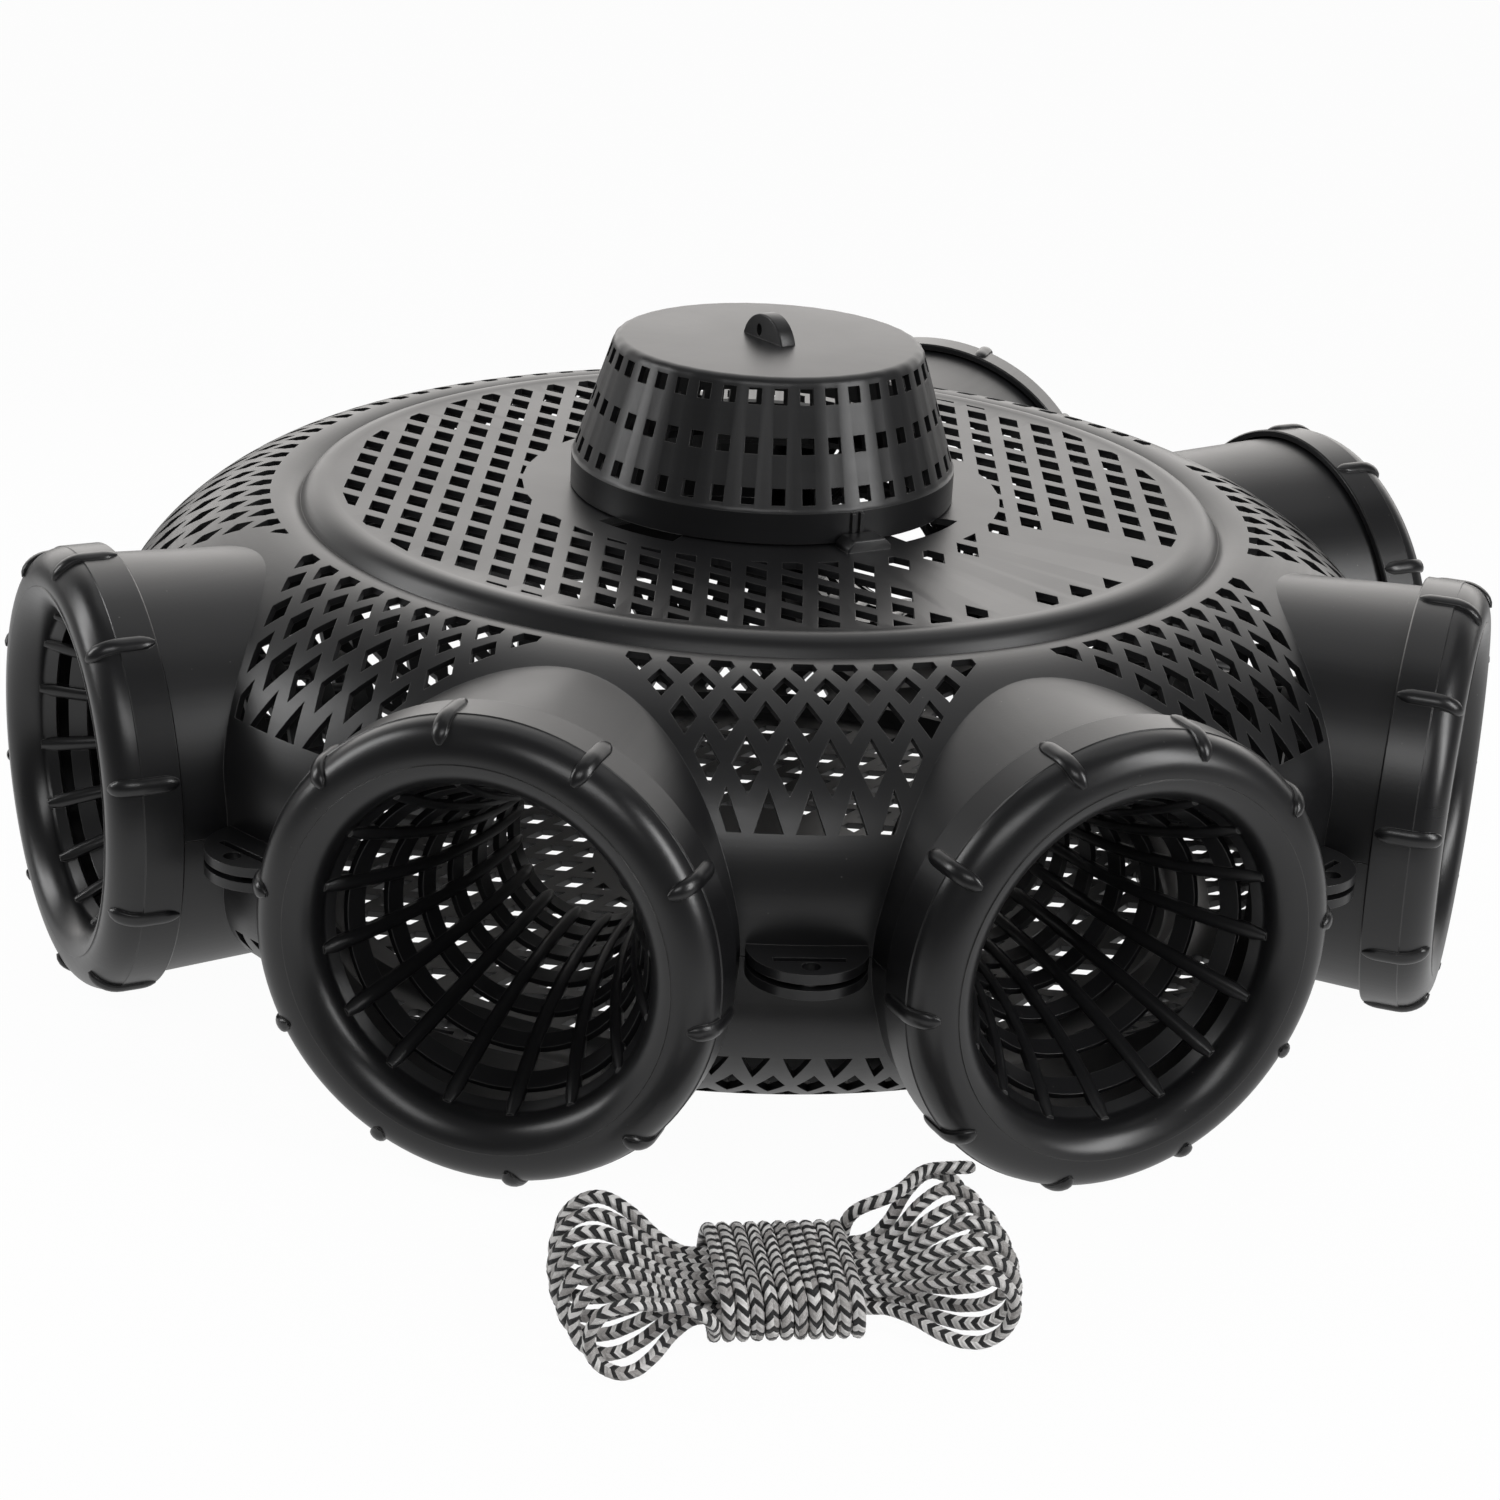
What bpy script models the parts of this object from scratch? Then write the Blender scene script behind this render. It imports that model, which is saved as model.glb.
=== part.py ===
"""Crayfish trap with its rope.

Two lattice half shells meet at a level seam. Six entrance rings, each with a net funnel, push
over the split necks and hold the halves together. A slotted bait cap locks in the top opening
with four bayonet hooks. A hank of rope lies in front of the trap on the same floor.

The origin is the trap's axis at the floor, +Z is up, and the front entrance looks along -Y.
An azimuth is 0 along -Y and grows towards +X.
"""
import math

import bmesh
import bpy
import numpy as np
from mathutils import Matrix, Vector

MM = 0.001
DEGREE = math.pi / 180.0

# Fits between pieces
FIT_GAP = 0.3 * MM
SEAM_GAP = 0.3 * MM

# Half shell, heights are above the seam
WALL = 2.4 * MM
BODY_RADIUS = 229.2 * MM
BAND_HEIGHT = 14.5 * MM
SHELL_HEIGHT = 74.4 * MM
PLATEAU_RADIUS = 155.0 * MM
RIDGE_WIDTH = 4.5 * MM
RIDGE_DROP = 3.6 * MM
GROOVE_WIDTH = 3.0 * MM
GROOVE_DEPTH = 5.9 * MM
DOME_START_HANDLE = Vector((12.9, 12.5)) * MM
DOME_END_HANDLE = 35.0 * MM
DOME_STEPS = 4
BODY_SEGMENTS = 24

# Eight places round the body, six of them with an entrance
PLACE_ANGLE = 45.0 * DEGREE
ENTRANCES = {
    "entrance_front": 0,
    "entrance_front_right": 1,
    "entrance_right": 2,
    "entrance_back_right": 3,
    "entrance_back": 4,
    "entrance_front_left": 7,
}
PLACES = 8

# Split necks
NECK_REACH = 13.8 * MM
NECK_WALL = 2.4 * MM
NECK_FLARE = 3.4 * MM
NECK_INSET = 61.0 * MM

# Lugs along the seam
LUG_RADIUS = 19.0 * MM
LUG_REACH = 21.3 * MM
LUG_THICKNESS = 3.1 * MM
LUG_PAIR_GAP = 1.9 * MM
LUG_HOLE_RADIUS = 2.85 * MM
LUG_HOLE_EDGE = 6.5 * MM
LUG_SEGMENTS = 8
LUG_HOLE_SEGMENTS = 6

# Lattice of the flat top, parallelogram slots between two families of bars
PLATE_TURN = 17.3 * DEGREE
PLATE_COLUMN_PITCH = 28.0 * MM
PLATE_ROW_PITCH = 36.0 * MM
PLATE_SKEW = 32.0 * DEGREE
PLATE_BAR = 6.0 * MM
PLATE_COLLAR = 85.0 * MM
PLATE_MARGIN = 4.0 * MM
BASE_DISC = 55.0 * MM
BARE_FIELD_START = 44.0 * DEGREE
BARE_FIELD_END = 89.0 * DEGREE
BARE_FIELD_INNER = 97.0 * MM
BARE_FIELD_OUTER = 140.0 * MM

# Lattice of the dome, diamonds between crossing bars, lengths measured down its slope
DOME_COLUMN_PITCH = 34.0 * MM
DOME_ROW_PITCH = 24.0 * MM
DOME_BAR = 5.0 * MM
DOME_TOP_MARGIN = 5.0 * MM
DOME_BASE_MARGIN = 22.0 * MM
DOME_ROWS = 3
NECK_MARGIN = 3.0 * MM
PLACE_RIB = 4.0 * MM

# Entrance ring, one moulding: skirt, half-round lip and net funnel
RING_RADIUS = 73.4 * MM
RING_WALL = 2.5 * MM
SKIRT_SETBACK = 4.2 * MM
SKIRT_LENGTH = 11.8 * MM
LIP_RADIUS = 10.6 * MM
LIP_STEPS = 4
RING_SEGMENTS = 16
FUNNEL_LENGTH = 90.6 * MM
FUNNEL_TIP_RADIUS = 26.6 * MM
FUNNEL_FLARE = 2.3
FUNNEL_WALL = 2.0 * MM
FUNNEL_RIBS = 8
FUNNEL_RIB_WIDTH = 5.0 * MM
FUNNEL_BAND_WIDTH = 5.0 * MM
FUNNEL_WINDOW_ROWS = 2

# Bait cap, heights are above the flat top
CAP_RIM_RADIUS = 68.0 * MM
CAP_RIM_HEIGHT = 11.8 * MM
CAP_HEIGHT = 54.4 * MM
CAP_TOP_RADIUS = 54.0 * MM
CAP_CORNER = 4.0 * MM
CAP_WALL = 2.2 * MM
CAP_COLUMNS = 12
CAP_ROWS = (16.5 * MM, 32.7 * MM, 48.5 * MM)
CAP_SLOT_HEIGHT = 6.4 * MM

# Bayonet of the cap in the upper shell
OPENING_RADIUS = 62.0 * MM
OPENING_SEGMENTS = 32
HOOKS = 4
HOOK_TURN = 46.2 * DEGREE
HOOK_ANGLE = 22.0 * DEGREE
HOOK_LEG = 3.2 * MM
HOOK_REACH = 10.5 * MM
HOOK_THICKNESS = 1.8 * MM
TURN_TO_OPEN = 26.0 * DEGREE
NOTCH_LEAD = 1.5 * DEGREE
NOTCH_PLAY = 2.5 * MM
NOTCH_STEPS = 3
HOOK_STEPS = 2
STOP_ANGLE = 3.0 * DEGREE
STOP_DEPTH = 3.0 * MM

# Stop block beside the cap's rim
BLOCK_LENGTH = 16.7 * MM
BLOCK_WIDTH = 9.0 * MM
BLOCK_HEIGHT = 4.0 * MM
BLOCK_CHAMFER = 2.5 * MM

# Finger tab on the cap
TAB_LENGTH = 23.0 * MM
TAB_HEIGHT = 9.0 * MM
TAB_THICKNESS = 6.2 * MM
TAB_TURN = 54.0 * DEGREE
TAB_HOLE_HEIGHT = 4.4 * MM
TAB_HOLE_WIDTH = 3.0 * MM
TAB_HOLE_OFFSET = 2.0 * MM
TAB_HOLE_RISE = 3.0 * MM
TAB_HOLE_SEGMENTS = 8
TAB_SEGMENTS = 16

# Rope hank
ROPE_DIAMETER = 3.5 * MM
ROPE_GAP = 0.5 * MM
LAYER_GAP = 1.3 * MM
LOOP_GAP = 0.9 * MM
HANK_PLACE = Vector((106.0, -279.0, 0.0)) * MM
HANK_TURN = 26.0 * DEGREE
HANK_LOOPS = 7
HANK_HALF_LENGTH = 66.0 * MM
HANK_CROWN = 7.0 * MM
LOBE_PITCH = 9.4 * MM
FOLD_RADIUS = 10.5 * MM
FOLD_POINTS = 5
FLANK_POINTS = 2
WRAP_TURNS = 11
WRAP_BEND_RADIUS = 7.2 * MM
WRAP_POINTS = 12
TAIL_LENGTH = 30.0 * MM
TAIL_POINTS = 4
LINK_POINTS = 5
LINK_REACH = 10.0 * MM
FLOOR_LIFT = 0.1 * MM

BLACK_PLASTIC = (0.012, 0.012, 0.013)
PLASTIC_ROUGHNESS = 0.42
ROPE_GREY = (0.22, 0.22, 0.22)
ROPE_ROUGHNESS = 0.8
SHARP_ANGLE = 30.0 * DEGREE
FLAT_ANGLE = 0.05 * DEGREE

# Values worked out from the ones above
SEAM_Z = SHELL_HEIGHT
GROOVE_RADIUS = PLATEAU_RADIUS + RIDGE_WIDTH + GROOVE_WIDTH
SKIRT_INNER = RING_RADIUS - RING_WALL
NECK_END_RADIUS = SKIRT_INNER - FIT_GAP / math.cos(math.pi / RING_SEGMENTS)
NECK_RADIUS = NECK_END_RADIUS - NECK_FLARE
NECK_END = BODY_RADIUS + NECK_REACH
SKIRT_BACK = BODY_RADIUS + SKIRT_SETBACK
MOUTH_RADIUS = RING_RADIUS - 2.0 * LIP_RADIUS
HOOK_OUTER = OPENING_RADIUS * math.cos(math.pi / OPENING_SEGMENTS) - FIT_GAP
HOOK_INNER = HOOK_OUTER - HOOK_LEG
FOOT_OUTER = HOOK_OUTER + HOOK_REACH
NOTCH_RADIUS = FOOT_OUTER + NOTCH_PLAY
ROPE_RADIUS = ROPE_DIAMETER / 2.0
WAIST_PITCH = ROPE_DIAMETER + LOOP_GAP
WRAP_PITCH = ROPE_DIAMETER + ROPE_GAP
CUT_REACH = 3.0 * WALL


def outward(azimuth):
    """Level unit vector that points away from the trap's axis."""
    return Vector((math.sin(azimuth), -math.cos(azimuth), 0.0))


def sideways(azimuth):
    """Level unit vector square to outward, towards a growing azimuth."""
    return Vector((math.cos(azimuth), math.sin(azimuth), 0.0))


def collection(name):
    made = bpy.data.collections.new(name)
    bpy.context.scene.collection.children.link(made)
    return made


def plastic(name, colour, roughness):
    material = bpy.data.materials.new(name)
    material.use_nodes = True
    shader = material.node_tree.nodes["Principled BSDF"]
    shader.inputs["Base Color"].default_value = (*colour, 1.0)
    shader.inputs["Roughness"].default_value = roughness
    shader.inputs["Metallic"].default_value = 0.0
    return material


def object_from(name, mesh, group):
    made = bpy.data.objects.new(name, mesh)
    group.objects.link(made)
    return made


def object_from_bmesh(name, bm, group, closed=True):
    mesh = bpy.data.meshes.new(name)
    if closed:
        bmesh.ops.recalc_face_normals(bm, faces=bm.faces)
    bm.to_mesh(mesh)
    bm.free()
    return object_from(name, mesh, group)


def cutter(made):
    """Mark an object as one that only cuts or joins another."""
    made.hide_render = True
    made.display_type = "WIRE"
    return made


def turned(name, line, segments, group, start=0.0):
    """Turn a line of (radius, height) points about Z, from a start angle off +X."""
    mesh = bpy.data.meshes.new(name)
    edges = [(i, i + 1) for i in range(len(line) - 1)]
    spots = [(p[0] * math.cos(start), p[0] * math.sin(start), p[1]) for p in line]
    mesh.from_pydata(spots, edges, [])
    made = object_from(name, mesh, group)
    screw = made.modifiers.new("turn", "SCREW")
    screw.steps = segments
    screw.render_steps = segments
    screw.use_merge_vertices = True
    screw.merge_threshold = 0.00001
    screw.use_smooth_shade = False
    return made


def flattened(made):
    """Join the faces that lie in one plane."""
    flat = made.modifiers.new("flat", "DECIMATE")
    flat.decimate_type = "DISSOLVE"
    flat.angle_limit = FLAT_ANGLE


def combined(made, other, operation, overlapping=False):
    """Add a boolean step; overlapping allows solids of the other object to meet each other."""
    step = made.modifiers.new(other.name, "BOOLEAN")
    step.operation = operation
    step.solver = "EXACT"
    step.use_self = overlapping
    step.object = other


def applied(made):
    """Give an object the mesh that its modifiers make."""
    bpy.context.view_layer.update()
    graph = bpy.context.evaluated_depsgraph_get()
    mesh = bpy.data.meshes.new_from_object(made.evaluated_get(graph))
    made.modifiers.clear()
    made.data = mesh
    mesh.shade_smooth()
    mesh.set_sharp_from_angle(angle=SHARP_ANGLE)
    return made


def add_prism(bm, corners, along, half_depth):
    """Add a closed prism round a flat outline, half_depth to each side of it."""
    rim = [bm.verts.new(corner + along * half_depth) for corner in corners]
    face = bm.faces.new(rim)
    grown = bmesh.ops.extrude_face_region(bm, geom=[face])
    moved = [item for item in grown["geom"] if isinstance(item, bmesh.types.BMVert)]
    bmesh.ops.translate(bm, verts=moved, vec=along * (-2.0 * half_depth))


def add_sector(bm, section, start, end, steps):
    """Turn a closed section of (radius, height) points from one azimuth to another."""
    rim = [bm.verts.new(outward(start) * p[0] + Vector((0.0, 0.0, p[1]))) for p in section]
    face = bm.faces.new(rim)
    bmesh.ops.spin(bm, geom=[face], cent=(0, 0, 0), axis=(0, 0, 1), angle=end - start, steps=steps,
                   use_duplicate=False)


def add_cylinder(bm, radius, depth, segments, matrix):
    bmesh.ops.create_cone(bm, cap_ends=True, segments=segments, radius1=radius, radius2=radius,
                          depth=depth, matrix=matrix)


def offset_line(line, distance):
    """Move a line of (radius, height) points to its inner side by the distance."""
    points = [Vector(p) for p in line]
    moved = []
    for i, point in enumerate(points):
        before = points[max(i - 1, 0)]
        after = points[min(i + 1, len(points) - 1)]
        first = (point - before).normalized() if i else (after - point).normalized()
        second = (after - point).normalized() if i < len(points) - 1 else first
        normal = (Vector((first.y, -first.x)) + Vector((second.y, -second.x))).normalized()
        spread = max(normal.dot(Vector((first.y, -first.x))), 0.5)
        moved.append(point + normal * (distance / spread))
    return moved


def dome_curve(fraction):
    """Point (radius, height) of the dome's outside, from the groove at 0 to the band at 1."""
    start = Vector((GROOVE_RADIUS, SHELL_HEIGHT - GROOVE_DEPTH))
    end = Vector((BODY_RADIUS, BAND_HEIGHT))
    first = start + DOME_START_HANDLE
    second = end + Vector((0.0, DOME_END_HANDLE))
    rest = 1.0 - fraction
    return (start * rest ** 3 + first * (3.0 * rest ** 2 * fraction)
            + second * (3.0 * rest * fraction ** 2) + end * fraction ** 3)


def dome_length_table(samples=200):
    """Fractions of the dome's curve and the lengths down its slope that they reach."""
    fractions = np.linspace(0.0, 1.0, samples)
    points = [dome_curve(f) for f in fractions]
    steps = [0.0] + [(points[i] - points[i - 1]).length for i in range(1, samples)]
    return fractions, np.cumsum(steps)


def shell_line():
    """The outside of a half shell from its axis to the seam."""
    line = [Vector((0.0, SHELL_HEIGHT)), Vector((PLATEAU_RADIUS, SHELL_HEIGHT)),
            Vector((PLATEAU_RADIUS + RIDGE_WIDTH, SHELL_HEIGHT - RIDGE_DROP))]
    line += [dome_curve(i / DOME_STEPS) for i in range(DOME_STEPS + 1)]
    line.append(Vector((BODY_RADIUS, SEAM_GAP / 2.0)))
    return line


def shell_azimuth(place, lower):
    """Azimuth of a place in a half shell's own frame; the lower one is turned over about X."""
    azimuth = place * PLACE_ANGLE
    return math.pi - azimuth if lower else azimuth


def neck_tubes(name, line, lower, group):
    """Six turned solids that lie level and point outwards, joined in one object."""
    pattern = turned(name, line, RING_SEGMENTS, group)
    applied(pattern)
    bm = bmesh.new()
    for place in ENTRANCES.values():
        azimuth = shell_azimuth(place, lower)
        start = len(bm.verts)
        bm.from_mesh(pattern.data)
        bm.verts.ensure_lookup_table()
        turn = Matrix.Rotation(azimuth, 4, "Z") @ Matrix.Rotation(90.0 * DEGREE, 4, "X")
        bmesh.ops.transform(bm, matrix=turn, verts=bm.verts[start:])
    bm.to_mesh(pattern.data)
    bm.free()
    return cutter(pattern)


def lug_discs(lower, group):
    bm = bmesh.new()
    for place in range(PLACES):
        azimuth = shell_azimuth(place + 0.5, lower)
        centre = outward(azimuth) * (BODY_RADIUS + LUG_REACH - LUG_RADIUS)
        centre.z = (LUG_PAIR_GAP + LUG_THICKNESS) / 2.0
        place_matrix = Matrix.Translation(centre) @ Matrix.Rotation(azimuth, 4, "Z")
        add_cylinder(bm, LUG_RADIUS, LUG_THICKNESS, LUG_SEGMENTS, place_matrix)
    return cutter(object_from_bmesh("lug_discs", bm, group))


def lug_holes(lower, group):
    bm = bmesh.new()
    for place in range(PLACES):
        azimuth = shell_azimuth(place + 0.5, lower)
        centre = outward(azimuth) * (BODY_RADIUS + LUG_REACH - LUG_HOLE_EDGE)
        add_cylinder(bm, LUG_HOLE_RADIUS, 4.0 * LUG_THICKNESS, LUG_HOLE_SEGMENTS,
                     Matrix.Translation(centre))
    return cutter(object_from_bmesh("lug_holes", bm, group))


def in_bare_field(radius, azimuth):
    """Whether a place of the flat top lies in the fan that has no slots."""
    return (BARE_FIELD_INNER < radius < BARE_FIELD_OUTER
            and BARE_FIELD_START < azimuth % (2.0 * math.pi) < BARE_FIELD_END)


def plate_slots(inner_radius, bare_field, group):
    """Parallelogram slots of the flat top, as one cutter."""
    bm = bmesh.new()
    across = Vector((math.cos(PLATE_TURN), math.sin(PLATE_TURN), 0.0))
    along = Vector((-across.y, across.x, 0.0))
    column = across * PLATE_COLUMN_PITCH - along * (PLATE_COLUMN_PITCH * math.tan(PLATE_SKEW))
    row = along * PLATE_ROW_PITCH
    slot_across = column * ((PLATE_COLUMN_PITCH - PLATE_BAR) / PLATE_COLUMN_PITCH / 2.0)
    row_bar = PLATE_BAR / math.cos(PLATE_SKEW)
    slot_along = along * ((PLATE_ROW_PITCH - row_bar) / 2.0)
    outer_radius = PLATEAU_RADIUS - PLATE_MARGIN
    reach = math.ceil(outer_radius / PLATE_COLUMN_PITCH)
    for i in range(-reach, reach + 1):
        for j in range(-2 * reach, 2 * reach + 1):
            centre = column * i + row * j
            corners = [centre + slot_across * a + slot_along * b
                       for a, b in ((1, 1), (-1, 1), (-1, -1), (1, -1))]
            radii = [corner.length for corner in corners]
            if min(radii) < inner_radius or max(radii) > outer_radius:
                continue
            azimuths = [math.atan2(corner.x, -corner.y) for corner in corners]
            if bare_field and any(in_bare_field(r, a) for r, a in zip(radii, azimuths)):
                continue
            level = Vector((0.0, 0.0, SHELL_HEIGHT))
            add_prism(bm, [corner + level for corner in corners], Vector((0, 0, 1)), CUT_REACH)
    return cutter(object_from_bmesh("plate_slots", bm, group))


def clipped(outline, low, high):
    """Cut a flat outline of (across, down) points to a range of the second value."""
    for limit, sign in ((low, 1.0), (high, -1.0)):
        kept = []
        for i, point in enumerate(outline):
            before = outline[i - 1]
            inside = (point[1] - limit) * sign >= 0.0
            if inside != ((before[1] - limit) * sign >= 0.0):
                share = (limit - before[1]) / (point[1] - before[1])
                kept.append((before[0] + (point[0] - before[0]) * share, limit))
            if inside:
                kept.append(point)
        outline = kept
    return outline


def dome_slots(lower, group):
    """Diamond slots of the dome in each sector between two places, as one cutter."""
    fractions, lengths = dome_length_table()
    low = DOME_TOP_MARGIN
    high = lengths[-1] - DOME_BASE_MARGIN
    half_width = DOME_COLUMN_PITCH / 2.0
    side = half_width * DOME_ROW_PITCH / math.hypot(half_width, DOME_ROW_PITCH)
    shrink = 1.0 - DOME_BAR / (2.0 * side)
    necks = [shell_azimuth(place, lower) for place in ENTRANCES.values()]
    keep_out = NECK_RADIUS + NECK_MARGIN
    reach = math.ceil(BODY_RADIUS * math.sin(PLACE_ANGLE / 2.0) / DOME_COLUMN_PITCH)
    bm = bmesh.new()

    def surface(azimuth, across, down):
        profile = dome_curve(float(np.interp(down, lengths, fractions)))
        radial = math.sqrt(profile.x ** 2 - across ** 2)
        point = outward(azimuth) * radial + sideways(azimuth) * across
        return Vector((point.x, point.y, profile.y))

    def allowed(point, azimuth):
        edge = PLACE_ANGLE / 2.0 - PLACE_RIB / 2.0 / point.xy.length
        level = Vector((point.x, point.y, 0.0))
        if math.atan2(abs(level.dot(sideways(azimuth))), level.dot(outward(azimuth))) > edge:
            return False
        for neck in necks:
            if level.dot(outward(neck)) > 0.0:
                if math.hypot(level.dot(sideways(neck)), point.z) < keep_out:
                    return False
        return True

    for place in range(PLACES):
        azimuth = shell_azimuth(place + 0.5, lower)
        for row in range(DOME_ROWS):
            down = high - row * DOME_ROW_PITCH
            for k in range(-reach, reach + 1):
                across = (k + 0.5 * (row % 2)) * DOME_COLUMN_PITCH
                outline = [(across, down - DOME_ROW_PITCH * shrink),
                           (across + half_width * shrink, down),
                           (across, down + DOME_ROW_PITCH * shrink),
                           (across - half_width * shrink, down)]
                outline = clipped(outline, low, high)
                corners = [surface(azimuth, a, d) for a, d in outline]
                if len(corners) < 3 or not all(allowed(c, azimuth) for c in corners):
                    continue
                middle = sum(corners, Vector()) / len(corners)
                flat = [c - middle for c in corners]
                normal = Vector()
                for a, b in zip(flat, flat[1:] + flat[:1]):
                    normal += a.cross(b)
                normal.normalize()
                level = [c - normal * normal.dot(c - middle) for c in corners]
                add_prism(bm, level, normal, CUT_REACH)
    return cutter(object_from_bmesh("dome_slots", bm, group))


def bayonet_opening(group):
    """The round opening under the cap and the four notches that let its hooks through."""
    bm = bmesh.new()
    add_cylinder(bm, OPENING_RADIUS, 2.0 * CUT_REACH, OPENING_SEGMENTS,
                 Matrix.Translation((0.0, 0.0, SHELL_HEIGHT)))
    opening = cutter(object_from_bmesh("bayonet_opening", bm, group))
    bm = bmesh.new()
    inner = OPENING_RADIUS - NOTCH_PLAY
    low = SHELL_HEIGHT - CUT_REACH
    high = SHELL_HEIGHT + CUT_REACH
    section = [(inner, low), (NOTCH_RADIUS, low), (NOTCH_RADIUS, high), (inner, high)]
    play = FIT_GAP / FOOT_OUTER
    for hook in range(HOOKS):
        middle = HOOK_TURN + TURN_TO_OPEN + hook * 2.0 * math.pi / HOOKS
        add_sector(bm, section, middle - HOOK_ANGLE / 2.0 - NOTCH_LEAD,
                   middle + HOOK_ANGLE / 2.0 + play, NOTCH_STEPS)
    notches = cutter(object_from_bmesh("bayonet_notches", bm, group))
    return opening, notches


def bayonet_stops(group):
    """Ribs under the top that each hook turns against when the cap locks."""
    bm = bmesh.new()
    top = SHELL_HEIGHT - WALL / 2.0
    foot = SHELL_HEIGHT - WALL - STOP_DEPTH
    inner = OPENING_RADIUS + WALL / 2.0
    section = [(inner, foot), (FOOT_OUTER, foot), (FOOT_OUTER, top), (inner, top)]
    for hook in range(HOOKS):
        edge = HOOK_TURN - HOOK_ANGLE / 2.0 - FIT_GAP / OPENING_RADIUS + hook * 2.0 * math.pi / HOOKS
        add_sector(bm, section, edge - STOP_ANGLE, edge, 1)
    return cutter(object_from_bmesh("bayonet_stops", bm, group))


def stop_block(group):
    """Low block with chamfered ends beside the cap's rim."""
    bm = bmesh.new()
    half = BLOCK_LENGTH / 2.0
    side = sideways(HOOK_TURN)
    out = outward(HOOK_TURN)
    inner = CAP_RIM_RADIUS + 2.0 * FIT_GAP
    edge = BLOCK_HEIGHT - BLOCK_CHAMFER
    rise = [(-half, -WALL / 2.0), (-half, edge), (BLOCK_CHAMFER - half, BLOCK_HEIGHT)]
    outline = rise + [(-a, h) for a, h in reversed(rise)]
    middle = out * (inner + BLOCK_WIDTH / 2.0)
    corners = [middle + side * a + Vector((0.0, 0.0, SHELL_HEIGHT + h)) for a, h in outline]
    add_prism(bm, corners, out, BLOCK_WIDTH / 2.0)
    return cutter(object_from_bmesh("stop_block", bm, group))


def half_shell(name, lower, group, cutters, material):
    """One half of the body in its own frame, with the seam at height 0."""
    outer = shell_line()
    inner = offset_line(outer, WALL)
    inner[-1] = Vector((BODY_RADIUS - WALL, -WALL))
    half_step = math.pi / BODY_SEGMENTS
    shell = turned(name, outer + [Vector((0.0, SEAM_GAP / 2.0))], BODY_SEGMENTS, group, half_step)
    flattened(shell)
    start = BODY_RADIUS - NECK_INSET
    neck_line = [Vector((0.0, NECK_END)), Vector((NECK_END_RADIUS, NECK_END)),
                 Vector((NECK_RADIUS, start)), Vector((0.0, start))]
    bore_end = NECK_END + WALL
    bore_start = start - 3.0 * WALL
    bore_line = [Vector((0.0, bore_end)), Vector((NECK_END_RADIUS - NECK_WALL, bore_end)),
                 Vector((NECK_RADIUS - NECK_WALL, bore_start)), Vector((0.0, bore_start))]
    hollow = cutter(turned("hollow", inner + [Vector((0.0, -WALL))], BODY_SEGMENTS, cutters, half_step))
    flattened(hollow)
    bm = bmesh.new()
    size = 3.0 * BODY_RADIUS
    box = Matrix.Translation((0.0, 0.0, SEAM_GAP / 2.0 - size / 2.0)) @ Matrix.Scale(size, 4)
    bmesh.ops.create_cube(bm, size=1.0, matrix=box)
    below = cutter(object_from_bmesh("below_seam", bm, cutters))
    combined(shell, neck_tubes("necks", neck_line, lower, cutters), "UNION", overlapping=True)
    combined(shell, lug_discs(lower, cutters), "UNION")
    combined(shell, hollow, "DIFFERENCE")
    combined(shell, neck_tubes("bores", bore_line, lower, cutters), "DIFFERENCE", overlapping=True)
    combined(shell, below, "DIFFERENCE")
    combined(shell, lug_holes(lower, cutters), "DIFFERENCE")
    if lower:
        combined(shell, plate_slots(BASE_DISC, False, cutters), "DIFFERENCE")
    else:
        opening, notches = bayonet_opening(cutters)
        combined(shell, opening, "DIFFERENCE")
        combined(shell, notches, "DIFFERENCE")
        combined(shell, bayonet_stops(cutters), "UNION")
        combined(shell, stop_block(cutters), "UNION")
        combined(shell, plate_slots(PLATE_COLLAR, True, cutters), "DIFFERENCE")
    combined(shell, dome_slots(lower, cutters), "DIFFERENCE")
    flattened(shell)
    applied(shell)
    shell.location.z = SEAM_Z
    shell.rotation_euler.x = math.pi if lower else 0.0
    shell.data.materials.append(material)
    return shell


def funnel_radius(depth):
    """Radius of the funnel's inside at a depth behind the lip's middle."""
    share = depth / FUNNEL_LENGTH
    return FUNNEL_TIP_RADIUS + (MOUTH_RADIUS - FUNNEL_TIP_RADIUS) * (1.0 - share) ** FUNNEL_FLARE


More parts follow.
